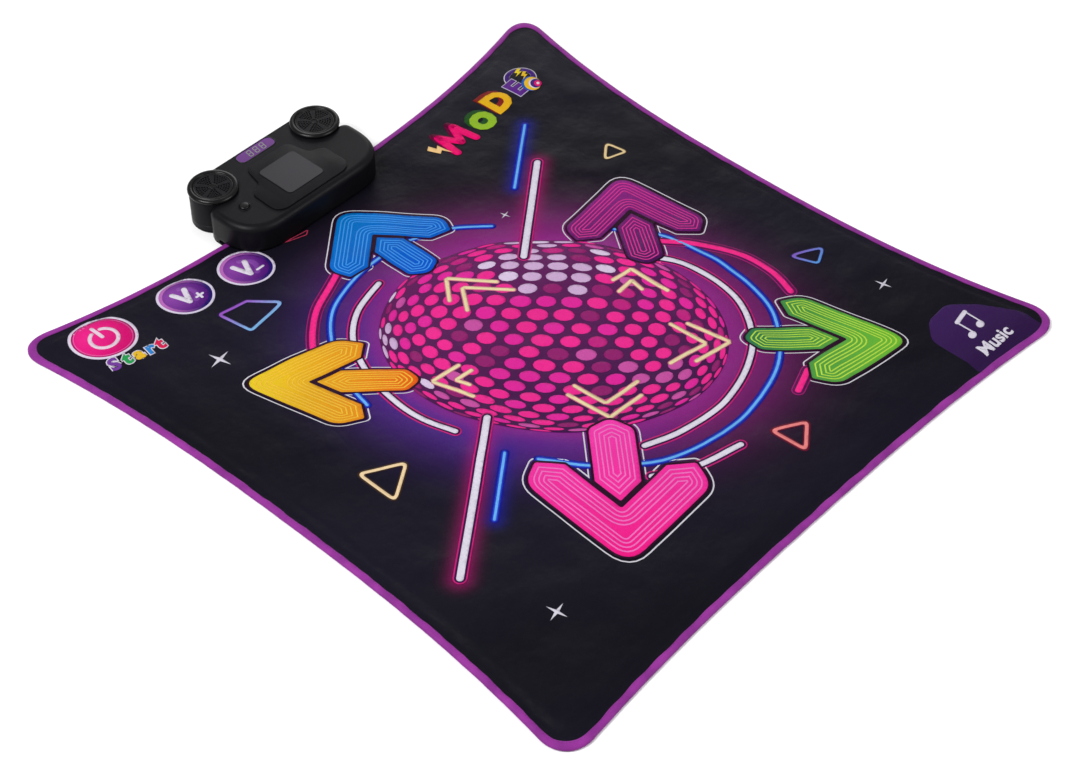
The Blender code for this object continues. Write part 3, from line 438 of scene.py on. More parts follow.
# %% Satin finish
THREADS, THREAD_HIGH, PUCKER_HIGH, FOLD_HIGH = 380, 0.00006, 0.0006, 0.006
satin, shader, place = new_material("printed_satin", Specular_IOR_Level=0.042)
colour = build(satin, "Attribute", attribute_name="ink")
for scale, detail, low, high in ((900, 1.0, 0.58, 0.68), (9, 3.0, 0.92, 1.0)):
    toned = build(satin, "MixRGB", blend_type="MULTIPLY", Fac=1.0)
    wire(satin, colour, "Color", toned, "Color1")
    wire(satin, ramp(satin, noise_at(satin, place, scale, detail), "Fac", low, high), "Color", toned, "Color2")
    colour = toned
wire(satin, colour, "Color", shader, "Base Color")
vary(satin, shader, place, "Roughness", 26, 4.0, 0.34, 0.48)
relief = bump(satin, noise_at(satin, place, 11, 4.0), "Fac", FOLD_HIGH)
relief = bump(satin, noise_at(satin, place, 70, 5.0), "Fac", PUCKER_HIGH, 1.0, relief)
for way in "XY":
    threads = pattern(satin, place, "Wave", bands_direction=way, Scale=THREADS)
    relief = bump(satin, threads, "Fac", THREAD_HIGH, 0.6, relief)
wire(satin, relief, "Normal", shader, "Normal")
print("satin nodes:", len(satin.node_tree.nodes))

# %% [markdown]
# ## The ball's place and the glow round it
#
# The print's main figure is a mirror ball in a haze of violet light. The ball is a disc seen at a slant, so it is an
# ellipse with two half axes. The haze is soft, so it can live in the cloth's own points: black far out, violet and
# magenta near the ball and beside the neon lines.

# %% Ball and glow
BALL_MIDDLE = np.array((0.004, -0.017))
BALL_LONG, BALL_WIDE, BALL_TURN = 0.216, 0.170, math.radians(-53.8)
LONG_WAY = np.array((math.cos(BALL_TURN), math.sin(BALL_TURN)))
WIDE_WAY = np.array((-LONG_WAY[1], LONG_WAY[0]))


def on_ball(x, y):
    """The point in the ball's own disc, where the rim is at a radius of one."""
    dx, dy = x - BALL_MIDDLE[0], y - BALL_MIDDLE[1]
    return (dx * LONG_WAY[0] + dy * LONG_WAY[1]) / BALL_LONG, (dx * WIDE_WAY[0] + dy * WIDE_WAY[1]) / BALL_WIDE


def mixed(start, end, amount):
    """Colours between two screen colours, one for each amount."""
    low, high = np.array(srgb(*start)), np.array(srgb(*end))
    return low + (high - low) * np.clip(amount, 0, 1)[:, None]


def near_line(x, y, start, end):
    """The distance to a straight line between two places given in millimetres."""
    a, b = np.array(start) * MM, np.array(end) * MM
    t = np.clip(((x - a[0]) * (b - a)[0] + (y - a[1]) * (b - a)[1]) / ((b - a) @ (b - a)), 0, 1)
    return np.hypot(x - a[0] - t * (b - a)[0], y - a[1] - t * (b - a)[1])


WHITE_BARS = [((80, 104), (229, 218)), ((-358, -206), (-158, -58))]
BLUE_BARS = [((172, 206), (277, 285)), ((-267, -173), (-185, -112))]


def ground(x, y):
    """The colour of the cloth itself at each place."""
    out = np.maximum(np.hypot(*on_ball(x, y)) - 1, 0)
    colour = mixed((20, 19, 28), (25, 23, 36), 0.5 + 0.5 * wave(x, y, 0.4, 1, 0))
    haze = mixed((132, 36, 120), (86, 42, 146), smooth(-x, -0.05, 0.22))
    tints = [(haze, fade(out, 0.37)), (srgb(150, 40, 140), 0.6 * fade(out, 0.075))]
    for bars, glow, width in ((WHITE_BARS, (180, 24, 120), 0.014), (BLUE_BARS, (30, 34, 160), 0.012)):
        tints += [(srgb(*glow), 0.55 * fade(near_line(x, y, *bar), width)) for bar in bars]
    for tint, amount in tints:
        colour = colour + (tint - colour) * amount[:, None]
    return colour


print("ball:", BALL_LONG, "by", BALL_WIDE, "dark cloth:", ground(np.array([0.4]), np.array([0.0])).round(3))

# %% [markdown]
# ## The cover cloth
#
# The cover is one thin sheet. Its outline is a ring of points closed by a single face, which the grid then cuts into
# cells, and each point is raised to the cloth's height. A Solidify modifier gives it the thickness of satin.

# %% Cover cloth
CLOTH_THICK, CLOTH_IN = 0.0006, 0.0035
bm = bmesh.new()
bm.faces.new([bm.verts.new((x, y, 0)) for x, y in mat_ring(CLOTH_IN)])
places = cut_cells(bm)
for vert, height in zip(bm.verts, cover_height(*places.T)):
    vert.co.z = height
cover = add_piece("cover_cloth", bm, satin, thickness=CLOTH_THICK)
set_ink(cover, ground(*places.T))
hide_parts("printed_cover")
print("cover cloth:", len(cover.data.polygons), "cells,", len(places), "points")

# %% [markdown]
# ## Shapes of ink
#
# Everything printed is a flat shape with a colour and an order, since a later ink lies over an earlier one. A fill is
# one face, a band is a ring of edges extruded inwards, and a stroke is a line with a width and round ends. They are
# gathered in one mesh, cut along the grid, and laid on the cloth a hair above it.

# %% The print helper
INK_LIFT, INK_STEP, INK_THICK = 0.00020, 0.00007, 0.00003


class Print:
    """Flat shapes in millimetres, each with an ink and an order, laid on the cloth together."""

    def __init__(self):
        self.bm = bmesh.new()
        self.shape = self.bm.verts.layers.int.new("shape")
        self.inks = []

    def note(self, verts, ink, order):
        for vert in verts:
            vert[self.shape] = len(self.inks)
        self.inks.append((ink, order))

    def fill(self, points, ink, order):
        verts = [self.bm.verts.new(place) for place in level(points)]
        self.bm.faces.new(verts)
        self.note(verts, ink, order)

    def band(self, outer, inner, ink, order):
        self.note(loft(self.bm, [level(outer), level(inner)])[0], ink, order)

    def stroke(self, path, width, ink, order):
        """A line with round ends."""
        path = np.array(path, float)
        way = np.gradient(path, axis=0)
        way /= np.linalg.norm(way, axis=1)[:, None]
        side = np.column_stack((-way[:, 1], way[:, 0])) * width / 2
        turn = np.linspace(0, math.pi, 8)[1:-1, None]
        end = path[-1] + np.cos(turn) * side[-1] + np.sin(turn) * way[-1] * width / 2
        start = path[0] - np.cos(turn) * side[0] - np.sin(turn) * way[0] * width / 2
        self.fill(np.concatenate((path + side, end, (path - side)[::-1], start)), ink, order)

    def letters(self, text, place, size, weight, ink, order, turn=0.0):
        """A word, as flat faces from the font."""
        curve = bpy.data.curves.new("word", "FONT")
        curve.body, curve.size, curve.offset = text, size, weight
        curve.align_x, curve.align_y, curve.resolution_u = "CENTER", "CENTER", 3
        holder = bpy.data.objects.new("word", curve)
        mesh = bpy.data.meshes.new_from_object(holder)
        before = len(self.bm.verts)
        self.bm.from_mesh(mesh)
        self.bm.verts.ensure_lookup_table()
        verts = self.bm.verts[before:]
        set_down = Matrix.Translation((place[0] * MM, place[1] * MM, 0)) @ Matrix.Rotation(math.radians(turn), 4, "Z")
        bmesh.ops.transform(self.bm, verts=verts, matrix=set_down @ Matrix.Diagonal((MM, MM, 0, 1)))
        self.note(verts, ink, order)
        bpy.data.objects.remove(holder)
        bpy.data.curves.remove(curve)
        bpy.data.meshes.remove(mesh)

    def lay(self, name):
        places = cut_cells(self.bm)
        self.bm.normal_update()
        bmesh.ops.reverse_faces(self.bm, faces=[f for f in self.bm.faces if f.normal.z < 0])
        shapes = np.array([v[self.shape] for v in self.bm.verts])
        orders = np.array([order for _, order in self.inks])[shapes]
        colours = np.zeros((len(places), 3))
        for number, (ink, _) in enumerate(self.inks):
            mine = shapes == number
            colours[mine] = ink(*places[mine].T) if callable(ink) else srgb(*ink)
        heights = cover_height(*places.T) + INK_LIFT + INK_STEP * orders
        for vert, height in zip(self.bm.verts, heights):
            vert.co.z = height
        piece = add_piece(name, self.bm, satin, thickness=INK_THICK)
        set_ink(piece, colours)
        print(name, "shapes:", len(self.inks), "faces:", len(piece.data.polygons))
        return piece


# %% [markdown]
# ## Outlines with round corners
#
# The arrows and signs are polygons whose corners are rounded, drawn again and again a little further in. Moving the
# sharp corners first and rounding them after keeps every copy parallel: an outer corner loses radius and an inner
# corner gains it.

# %% Rounded outlines and curved lines
CORNER_POINTS = 7


def rounded(corners, inset=0.0, room=0.47, steps=CORNER_POINTS):
    """A polygon of (x, y, radius), drawn in by inset, with its corners rounded."""
    spots = np.array([c[:2] for c in corners], float)
    ahead = np.roll(spots, -1, axis=0) - spots
    ahead /= np.linalg.norm(ahead, axis=1)[:, None]
    behind = np.roll(ahead, 1, axis=0)
    bend = behind[:, 0] * ahead[:, 1] - behind[:, 1] * ahead[:, 0]
    half_turn = np.arctan2(bend, (behind * ahead).sum(axis=1)) / 2
    inward = np.column_stack((-behind[:, 1], behind[:, 0]))
    moved = spots + inset * (inward + behind * -np.tan(half_turn)[:, None])
    outline = []
    for i, spot in enumerate(moved):
        radius = corners[i][2] - inset if bend[i] > 0 else corners[i][2] + inset
        beside = (moved[i - 1], moved[(i + 1) % len(moved)])
        most = room * min(np.linalg.norm(other - spot) for other in beside)
        reach = min(max(radius, 0.4) * abs(math.tan(half_turn[i])), most)
        start, end = spot - behind[i] * reach, spot + ahead[i] * reach
        for t in np.linspace(0, 1, steps) if corners[i][2] else (0.5,):
            outline.append((1 - t) ** 2 * start + 2 * t * (1 - t) * spot + t * t * end)
    return np.array(outline)


def curve_through(points, steps=7):
    """A smooth line through a few places."""
    p = np.array([points[0], *points, points[-1]], float)
    t = np.linspace(0, 1, steps, endpoint=False)[:, None]
    parts = []
    for a, b, c, d in zip(p, p[1:], p[2:], p[3:]):
        bend, twist = 2 * a - 5 * b + 4 * c - d, 3 * b - a - 3 * c + d
        parts.append(0.5 * (2 * b + (c - a) * t + bend * t**2 + twist * t**3))
    return np.concatenate((*parts, p[-1:]))


def set_at(shape, place, turn=0.0):
    """A shape drawn about its own middle, turned by some degrees and moved to a place."""
    c, s = math.cos(math.radians(turn)), math.sin(math.radians(turn))
    return np.array(shape) @ ((c, s), (-s, c)) + place


def around(place, radius, angles, squash=1.0, turn=0.0):
    """Places at some angles on a circle, or on an ellipse turned by some degrees."""
    return set_at(np.column_stack((radius * np.cos(angles), radius * squash * np.sin(angles))), place, turn)


def round_shape(place, radius, points=40, squash=1.0, turn=0.0):
    return around(place, radius, np.linspace(0, 2 * math.pi, points, endpoint=False), squash, turn)


print("a rounded square has", len(rounded([(0, 0, 2), (9, 0, 2), (9, 9, 2), (0, 9, 2)], 1)), "points")

# %% [markdown]
# ## Neon rings and bars
#
# A neon tube in print is a light core, a gap, and a thin saturated outline. Drawing the same line three times, each
# time narrower and one ink higher, gives all of it.

# %% Neon lines
WHITE_TUBE = ((8.5, (214, 40, 128)), (5.0, (66, 20, 78)), (0.0, (232, 226, 242)))
BLUE_TUBE = ((8.0, (28, 30, 150)), (3.4, (40, 70, 215)), (0.0, (110, 185, 255)))
ROSE_TUBE = ((9.0, (170, 36, 120)), (6.2, (96, 22, 84)), (0.0, (255, 44, 144)))
neon = Print()


def tube(layers, width, path, order=0):
    """A line drawn three times. Each layer is an extra width and an ink."""
    for step, (more, ink) in enumerate(layers):
        neon.stroke(path, width + more, ink, order + step)


for layers, width, through in (
    (ROSE_TUBE, 8.0, [(-222, 174), (-196, 203), (-162, 229), (-103, 256)]),
    (ROSE_TUBE, 8.0, [(194, 21), (244, -34), (270, -95), (273, -142), (261, -185)]),
    (ROSE_TUBE, 8.0, [(131, -300), (166, -287)]),
    (BLUE_TUBE, 3.6, [(-238, 64), (-222, 124), (-187, 179), (-152, 212), (-108, 230), (-53, 238), (2, 234),
                      (52, 215), (97, 176)]),
    (BLUE_TUBE, 3.6, [(200, 56), (228, 6), (240, -45), (242, -95), (235, -145), (211, -200), (146, -256),
                      (46, -280), (-55, -262), (-125, -207), (-165, -147)]),
    (WHITE_TUBE, 7.0, [(-198, -44), (-210, -1), (-211, 44), (-199, 104), (-172, 156), (-130, 190), (-80, 204)]),
    (WHITE_TUBE, 7.0, [(189, -15), (206, -45), (213, -78), (213, -112), (203, -150), (180, -186), (146, -216),
                       (96, -239), (44, -248), (-15, -242), (-65, -225)]),
    (WHITE_TUBE, 7.0, [(-95, -262), (-44, -292), (14, -307)]),
):
    tube(layers, width, curve_through(through))
for start, end in WHITE_BARS:
    tube(WHITE_TUBE, 8.5, np.linspace(start, end, 12), 6)
for start, end in BLUE_BARS:
    tube(BLUE_TUBE, 3.4, np.linspace(start, end, 8))
neon_lines = neon.lay("neon_lines")

# %% [markdown]
# ## The mirror ball
#
# A mirror ball is rows of round mirrors on a sphere, so the dots are set out on a real sphere: rows of latitude, as
# many dots in each as fit, and only those that face the viewer. Each dot's outline is turned onto the sphere and
# pressed flat, which squeezes the dots near the rim just as perspective does.

# %% Mirror ball
ball = Print()


def ball_ink(x, y):
    along, across = on_ball(x, y)
    return mixed((64, 22, 74), (104, 32, 96), 0.5 + 0.45 * across - 0.25 * along)


rim = np.linspace(0, 2 * math.pi, 120, endpoint=False)
across_rim = np.outer(np.sin(rim) * BALL_WIDE, WIDE_WAY)
ball.fill((BALL_MIDDLE + np.outer(np.cos(rim) * BALL_LONG, LONG_WAY) + across_rim) / MM, ball_ink, 3)

ROWS, DOT_ANGLE, DOT_PITCH, FACING = 22, 0.0625, 0.149, 0.10
dot_chance = np.random.default_rng(5)
tilt = Matrix.Rotation(math.radians(24), 3, "X") @ Matrix.Rotation(math.radians(14), 3, "Z")
dot_rim = [(math.cos(t), math.sin(t)) for t in np.linspace(0, 2 * math.pi, 12, endpoint=False)]


def on_cloth(spot):
    """Where a point of the unit sphere falls on the cloth."""
    along, across = 0.59 * spot.x - 0.807 * spot.y, 0.807 * spot.x + 0.59 * spot.y
    return BALL_MIDDLE + along * BALL_LONG * LONG_WAY + across * BALL_WIDE * WIDE_WAY


def dot_ink(x, y, rise):
    """Mostly hot pink, some dark or pale, and nearly white in the two places that mirror a lamp."""
    shine = 0.9 * fade(x - 0.085, 0.05) * fade(y - 0.075, 0.06)
    shine += 0.85 * fade(x + 0.135, 0.05) * fade(y - 0.13, 0.06) * (rise < 0.45)
    pick = dot_chance.uniform(0, 1)
    if pick < shine:
        return (214, 178, 220) if pick > 0.1 else (226, 205, 236)
    if pick > 0.92:
        return (206, 84, 168)
    if pick > 0.72 + 0.1 * (x < 0):
        return (150, 34, 112) if pick > 0.82 else (196, 36, 130)
    return (246, 44, 150) if dot_chance.uniform(0, 1) < 0.7 else (232, 40, 160)


for row in range(1, ROWS):
    latitude = math.pi * (row / ROWS - 0.5)
    flat, high = math.cos(latitude), math.sin(latitude)
    count = max(4, round(2 * math.pi * flat / DOT_PITCH))
    for number in range(count):
        longitude = 2 * math.pi * (number + 0.5 * (row % 2)) / count
        up = tilt @ Vector((math.sin(longitude) * flat, high, math.cos(longitude) * flat))
        if up.z < FACING:
            continue
        sideways = tilt @ Vector((math.cos(longitude), 0, -math.sin(longitude)))
        upwards = up.cross(sideways)
        size = DOT_ANGLE * dot_chance.uniform(0.92, 1.06)
        dot = np.array([on_cloth(up + (sideways * c + upwards * s) * size) for c, s in dot_rim])
        ball.fill(dot / MM, dot_ink(*dot.mean(axis=0), up.z), 4)
print("dots:", len(ball.inks) - 1)

# %% Cream chevrons
for start, point, end in np.array((
    [(-41, 118), (-16, 148), (24, 98)], [(-38, 90), (-14, 122), (28, 73)],
    [(-116, 30), (-157, 35), (-142, -20)], [(-111, 13), (-136, 15), (-131, -3)],
    [(125, -8), (155, -12), (158, -70)], [(115, -27), (141, -25), (138, -45)],
    [(-63, -102), (-58, -165), (-4, -167)], [(-46, -97), (-43, -145), (11, -148)],
    [(130, -127), (140, -187), (86, -178)], [(115, -112), (118, -167), (62, -157)],
), float):
    near, beyond = start + (point - start) * 0.97, point + (end - point) * 0.03
    path = np.concatenate((np.linspace(start, near, 6), np.linspace(beyond, end, 6)))
    ball.stroke(path, 7.4, (222, 120, 150), 5)
    ball.stroke(path, 4.8, (246, 228, 176), 6)
mirror_ball = ball.lay("mirror_ball")

# %% [markdown]
# ## The five arrows
#
# All five arrows are one drawing: an L-shaped head with round arms, a shaft with a pointed end, and four lines that
# follow their outlines inside. The drawing is set down by three places, its tip and the ends of its arms, so each
# arrow gets its own direction and the slight squeeze of the fabric.

# %% Arrows
HEAD = [(0, 0, 30), (156, 0, 24), (168, 32, 5), (140, 55, 3), (55, 55, 4), (55, 140, 3), (32, 168, 5), (0, 156, 24)]
SHAFT = [(62, 62, 2), (101, 62, 3), (154, 115, 12), (146, 146, 22), (115, 154, 12), (62, 101, 3)]
WHOLE = [(0, 0, 30), (156, 0, 24), (168, 32, 5), (140, 55, 3), (94, 55, 6), (154, 115, 12), (146, 146, 22),
         (115, 154, 12), (55, 94, 6), (55, 140, 3), (32, 168, 5), (0, 156, 24)]
ARM, LINE_WIDE = 166.0, 2.0
CONTOURS = (5.8, 11.4, 17.0, 22.2)
KEYLINE_OUT, KEYLINE_IN, DARK_EDGE = -7.4, -5.6, -3.0
arrows = Print()


def arrow(tip, first_arm, second_arm, tip_ink, end_ink, line_ink):
    tip, across, along = np.array(tip), np.array(first_arm) - tip, np.array(second_arm) - tip

    def outline(part, inset=0.0):
        points = rounded(part, inset) / ARM
        return tip + np.outer(points[:, 0], across) + np.outer(points[:, 1], along)

    def blend_ink(x, y):
        axis = across + along
        amount = ((x / MM - tip[0]) * axis[0] + (y / MM - tip[1]) * axis[1]) / (axis @ axis)
        return mixed(tip_ink, end_ink, amount)

    arrows.band(outline(WHOLE, KEYLINE_OUT), outline(WHOLE, KEYLINE_IN), (226, 222, 232), 0)
    arrows.fill(outline(WHOLE, DARK_EDGE), (44, 14, 40), 8)
    for part in (HEAD, SHAFT):
        arrows.fill(outline(part), blend_ink, 9)
        for inset in CONTOURS:
            arrows.band(outline(part, inset), outline(part, inset + LINE_WIDE), line_ink, 10)


arrow((-18, 342), (-112, 262), (72, 226), (0, 124, 206), (0, 74, 208), (70, 160, 250))
arrow((-318, 202), (-176, 170), (-284, 58), (236, 212, 40), (238, 44, 16), (252, 200, 60))
arrow((282, 120), (147, 102), (296, -24), (150, 38, 138), (44, 10, 74), (228, 56, 156))
arrow((-214, -332), (-204, -152), (-48, -322), (250, 22, 136), (255, 66, 186), (255, 120, 205))
arrow((292, -348), (166, -330), (262, -192), (116, 198, 52), (4, 104, 84), (196, 236, 74))
dance_arrows = arrows.lay("dance_arrows")

# %% [markdown]
# ## Small neon figures
#
# Stray triangles and four-pointed stars are scattered over the dark cloth. A triangle is a closed tube, so it is a
# pair of bands, and a star is one face with long points.

# %% Triangles and stars
STAR_TURN, STAR_WAIST, STAR_INK = 12, 0.2, (222, 218, 232)
figures = Print()


def rising(low, high, start, span):
    """An ink that changes from the near side of a shape to its far side."""
    return lambda x, y: mixed(low, high, (y - start) / span)


def neon_triangle(corners, ink, glow, width=4.2, curl=5):
    """A closed tube. Its corners may be given either way round."""
    area = sum(a[0] * b[1] - b[0] * a[1] for a, b in zip(corners, corners[1:] + corners[:1]))
    corners = [(*c, curl) for c in (corners if area > 0 else corners[::-1])]
    figures.band(rounded(corners, -width), rounded(corners, width * 0.9), glow, 0)
    figures.band(rounded(corners, -width / 2), rounded(corners, width / 2), ink, 1)


neon_triangle([(-254, 311), (-213, 304), (-185, 269), (-245, 261)],
              rising((130, 190, 240), (160, 90, 205), 0.262, 0.045), (36, 28, 62))
neon_triangle([(-108, 351), (-76, 340.5), (-68, 346)], (205, 60, 96), (60, 18, 34), 1.3, 1.5)
neon_triangle([(294, 156), (322, 178), (327, 146)], (244, 216, 160), (58, 44, 40), 3.6)
neon_triangle([(311, -142), (354, -164), (326, -178)],
              rising((90, 160, 235), (140, 90, 200), -0.178, 0.036), (30, 28, 66), 3.4)
neon_triangle([(-324, -9), (-275, -39), (-323, -68)], (248, 218, 172), (62, 44, 36))
neon_triangle([(56, -319), (96, -341), (58, -369)], (250, 140, 140), (110, 24, 50), 4.6)
for place, size in (((-306, 251), 17), ((125, 179), 8), ((351, -262), 12), ((-320, -318), 14)):
    points = np.arange(8)
    radius = np.where(points % 2 == 0, size, size * STAR_WAIST)
    figures.fill(around(place, radius, np.radians(STAR_TURN) + points * math.pi / 4), STAR_INK, 1)
neon_figures = figures.lay("neon_figures")

# %% [markdown]
# ## The printed controls
#
# Each control is a place to step on: a start button with the power sign, two volume buttons, the mode word and the
# music tab. The buttons are stacks of circles with glassy highlights. The words are plain everyday ones, made from
# Blender's own font and fattened, with a paler and wider copy behind each letter.

# %% Round buttons
controls = Print()
POWER, SQUEEZE_WAY = (-377, 386), -47
POWER_INK, SIGN_INK = (240, 214, 232), (232, 224, 240)


def gloss(place, size, low, high):
    """Lighter towards the upper left, as on a glass button."""
    def ink(x, y):
        from_left, from_top = x / MM - place[0] + size * 0.45, y / MM - place[1] - size * 0.4
        return mixed(high, low, np.hypot(from_left, from_top) / (size * 1.5))
    return ink


def rim_ink(place):
    """Violet that turns rosy towards the upper left."""
    return lambda x, y: mixed((40, 24, 110), (190, 110, 190), 0.5 + (y - x - (place[1] - place[0]) * MM) / 0.07)


def stack(place, points, squash, layers):
    """Ellipses of ink, each smaller than the one below."""
    for order, (radius, ink) in enumerate(layers):
        controls.fill(round_shape(place, radius, points, squash, SQUEEZE_WAY), ink, order)


stack(POWER, 56, 0.88, ((43.5, (226, 216, 236)), (39.6, (176, 18, 104)), (37.4, (250, 96, 176)),
                        (36.0, gloss(POWER, 33, (214, 6, 112), (252, 40, 148)))))
sweep = np.radians(np.linspace(112, 428, 40))
controls.stroke(around((POWER[0], POWER[1] - 2), 17.5, sweep), 5.2, POWER_INK, 5)
controls.stroke([(POWER[0], POWER[1] + rise) for rise in (22, 13, 1)], 5.2, POWER_INK, 5)

LETTER_V = [([(-11, 13), (-7, 0), (-3, -12)], 7.4, 4), ([(7, 11), (2, 0), (-3, -12)], 7.4, 4)]
MINUS = [([(8, -12), (13, -12), (18, -12)], 3.6, 5)]
PLUS = MINUS + [([(13, -7), (13, -12), (13, -17)], 3.6, 6)]
for place, sign in (((-259, 367), PLUS), ((-172, 350), MINUS)):
    stack(place, 52, 0.90, ((37.2, (222, 212, 234)), (33.8, rim_ink(place)),
                            (29.2, gloss(place, 27, (84, 26, 124), (150, 74, 176)))))
    arc = around((place[0] - 3, place[1]), 17, np.radians(np.linspace(-60, 70, 16)))
    controls.stroke(arc, 8, gloss(place, 27, (112, 52, 150), (164, 96, 190)), 3)
    for path, width, order in LETTER_V + sign:
        controls.stroke(np.array(path) + place, width, SIGN_INK, order)
print("button shapes:", len(controls.inks))

# %% Words
for letter, place, ink in (("S", (-398, 339), (118, 62, 158)), ("t", (-382, 335), (40, 160, 84)),
                           ("a", (-367, 331), (240, 192, 40)), ("r", (-351, 328), (42, 136, 216)),
                           ("t", (-337, 326), (226, 24, 84))):
    controls.letters(letter, place, 28, 2.7, (224, 218, 232), 0, -10)
    controls.letters(letter, place, 28, 1.35, ink, 1, -10)

SIDES = ((7.2, 0), (4.8, 1), (2.4, 2))
for letter, place, size, weight, front, side, copies in (
    ("o", (244, 337), 66, 3.1, (150, 192, 42), (36, 84, 34), SIDES),
    ("D", (287, 343), 50, 3.1, (242, 186, 24), (140, 34, 30), SIDES),
    ("E", (325, 345), 42, 2.0, (96, 38, 142), (206, 196, 224), ((0, 2),)),
):
    for shift, order in copies:
        controls.letters(letter, (place[0] - shift * 0.3, place[1] + shift), size, 3.3, side, order, 4)
    controls.letters(letter, place, size, weight, front, 5, 4)

LETTER_M = [(-19, -21), (-15, 19), (1, -9), (15, 21), (21, -17)]
for depth in (3, 2, 1, 0):
    for start, end in zip(LETTER_M, LETTER_M[1:]):
        spots = np.linspace(start, end, 4) + (192 - 0.7 * depth, 332 + 2.4 * depth)
        controls.stroke(spots, 11.5, (110, 6, 60) if depth else (244, 0, 112), 4 - depth if depth else 5)
print("shapes with the words:", len(controls.inks))

# %% Headphones and lightning
HEADPHONES = (345, 357)
sweep = np.radians(np.linspace(165, -62, 30))
for radius, width, ink, order in ((19, 8.0, (226, 220, 236), 0), (18.4, 6.4, (70, 34, 124), 1)):
    controls.stroke(around(HEADPHONES, radius, sweep), width, ink, order)
EAR_CUP = (
    ((345, 338), 12.5, (24, 96, 190)), ((347, 336), 11.5, (244, 196, 34)), ((349.5, 334), 8.5, (236, 228, 240)),
    ((350.5, 333), 7.5, (70, 34, 124)), ((352.5, 331), 5.2, (236, 24, 120)), ((353, 331), 2.2, (240, 230, 240)),
)
for order, (place, radius, ink) in enumerate(EAR_CUP, 6):
    controls.fill(round_shape(place, radius, 28, 1.2, -40), ink, order)

BOLT = [(-0.1, 1), (0.45, 0.9), (0.15, 0.25), (0.55, 0.2), (-0.35, -1), (-0.05, -0.15), (-0.5, -0.05)]
for place, size, turn, ink, order in (((161, 332), 17, 46, (250, 206, 140), 6),
                                      ((351, 367), 10, -45, (248, 220, 40), 7),
                                      ((352, 356), 9, -38, (248, 200, 40), 7)):
    controls.fill(set_at(np.array(BOLT) * size, place, turn), ink, order)
printed_controls = controls.lay("printed_controls")

# %% Music tab
tab = Print()
TAB = [(309, -447, 1), (431, -458, 1), (431, -420, 30), (402, -370, 30), (372, -342, 24), (334, -344, 24),
       (309, -368, 20)]
TAB_INK = (230, 224, 238)
tab.fill(rounded(TAB), rising((46, 22, 68), (62, 32, 92), -0.45, 0.1), 0)
tab.letters("Music", (364, -424), 25, 0.75, TAB_INK, 1)
for note_head in ((352, -398), (374, -394)):
    tab.fill(round_shape(note_head, 6.4, 24, 0.8, 20), TAB_INK, 1)
    tab.stroke(np.array([(4.5, 2), (4.5, 14), (4.5, 28)]) + note_head, 2.4, TAB_INK, 2)
tab.stroke([(356.5, -371.5), (367, -369.5), (378.5, -367.5)], 6.0, TAB_INK, 3)
music_tab = tab.lay("music_tab")

# %% [markdown]
# ## The sewn edge
#
# A folded tape closes the edge of the mat. Its cross-section is a flattened ring that wraps the hem, so the tape is
# that section carried round the mat: a ring of edges, extruded once for each point of the section and closed on
# itself. It swells and narrows a little between stitches, and one end laps over the other on the near side.

# %% Binding tape
TAPE_SECTION = [(9.4, 4.7), (9.1, 5.5), (8.4, 5.9), (6.8, 6.05), (4.8, 6.1), (2.7, 5.9), (1.1, 5.1), (0.2, 3.7),
                (0.1, 2.0), (1.0, 0.5), (2.8, 0.1), (6.0, 0.05), (8.5, 0.05), (9.2, 0.6)]
LAP_AT, LAP_LONG, UNDER_CONSOLE = 0.235, 0.016, 3.3
TAPE_WAVES = ((0.35, 0.034, 0.7, 1.0), (0.3, 0.057, 2.1, 0.4), (0.25, 0.019, 1.2, 2.0))


def tape_ring(distance, height):
    """One ring of the tape, with its small unevenness, as places in space."""
    ring, further = mat_ring(distance * MM), mat_ring((distance + 1) * MM)
    swell = sum(high * wave(*ring.T, *one) for high, *one in TAPE_WAVES)
    x, y = (ring + (further - ring) * (swell * (0.9 if distance > 6 else 0.25))[:, None]).T
    lap = (np.abs(x - LAP_AT) < LAP_LONG) & (y < -0.3)
    z = height + (0.12 * swell + 0.55 * lap if height > 4 else 0)
    low = UNDER_CONSOLE * (1 - smooth(from_console(x, y), 0.001, 0.014))
    return np.column_stack((x, y, np.maximum(z, low) * MM))


bm = bmesh.new()
loft(bm, [tape_ring(*section) for section in TAPE_SECTION + TAPE_SECTION[:1]])
close_up(bm, 0.00001)

tape_cloth, shader, place = new_material(
    "tape_cloth", Sheen_Weight=0.04, Sheen_Roughness=0.5, Specular_IOR_Level=0.14
)
vary(tape_cloth, shader, place, "Base Color", 40, 4.0, srgb(112, 30, 116), srgb(130, 40, 132))
vary(tape_cloth, shader, place, "Roughness", 120, 2.0, 0.48, 0.66)
rib = pattern(tape_cloth, place, "Wave", bands_direction="DIAGONAL", Scale=300)
soft = bump(tape_cloth, noise_at(tape_cloth, place, 110, 4.0), "Fac", 0.0006)
wire(tape_cloth, bump(tape_cloth, rib, "Fac", 0.00012, 0.8, soft), "Normal", shader, "Normal")
tape = add_piece("binding_tape", bm, tape_cloth)
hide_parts("edge_binding")
print("tape faces:", len(tape.data.polygons))

# %% [markdown]
# ## Stitches
#
# A row of lockstitches holds the tape. One stitch is a tiny stretched ball sunk in the tape, placed again and again
# at even steps along a line just inside the tape's edge and turned to follow it.

# %% Stitches
STITCH_PITCH, STITCH_IN, STITCH_HIGH = 0.0042, 0.0072, 0.00598
STITCH_SHAPE = Matrix.Diagonal((0.0015, 0.00038, 0.00032, 1))
line = mat_ring(STITCH_IN)
line = np.vstack((line, line[:1]))
run = np.concatenate(([0], np.cumsum(np.linalg.norm(np.diff(line, axis=0), axis=1))))
marks = np.arange(0, run[-1], STITCH_PITCH)


def on_line(distance):
    return np.column_stack([np.interp(distance, run, line[:, axis]) for axis in (0, 1)])


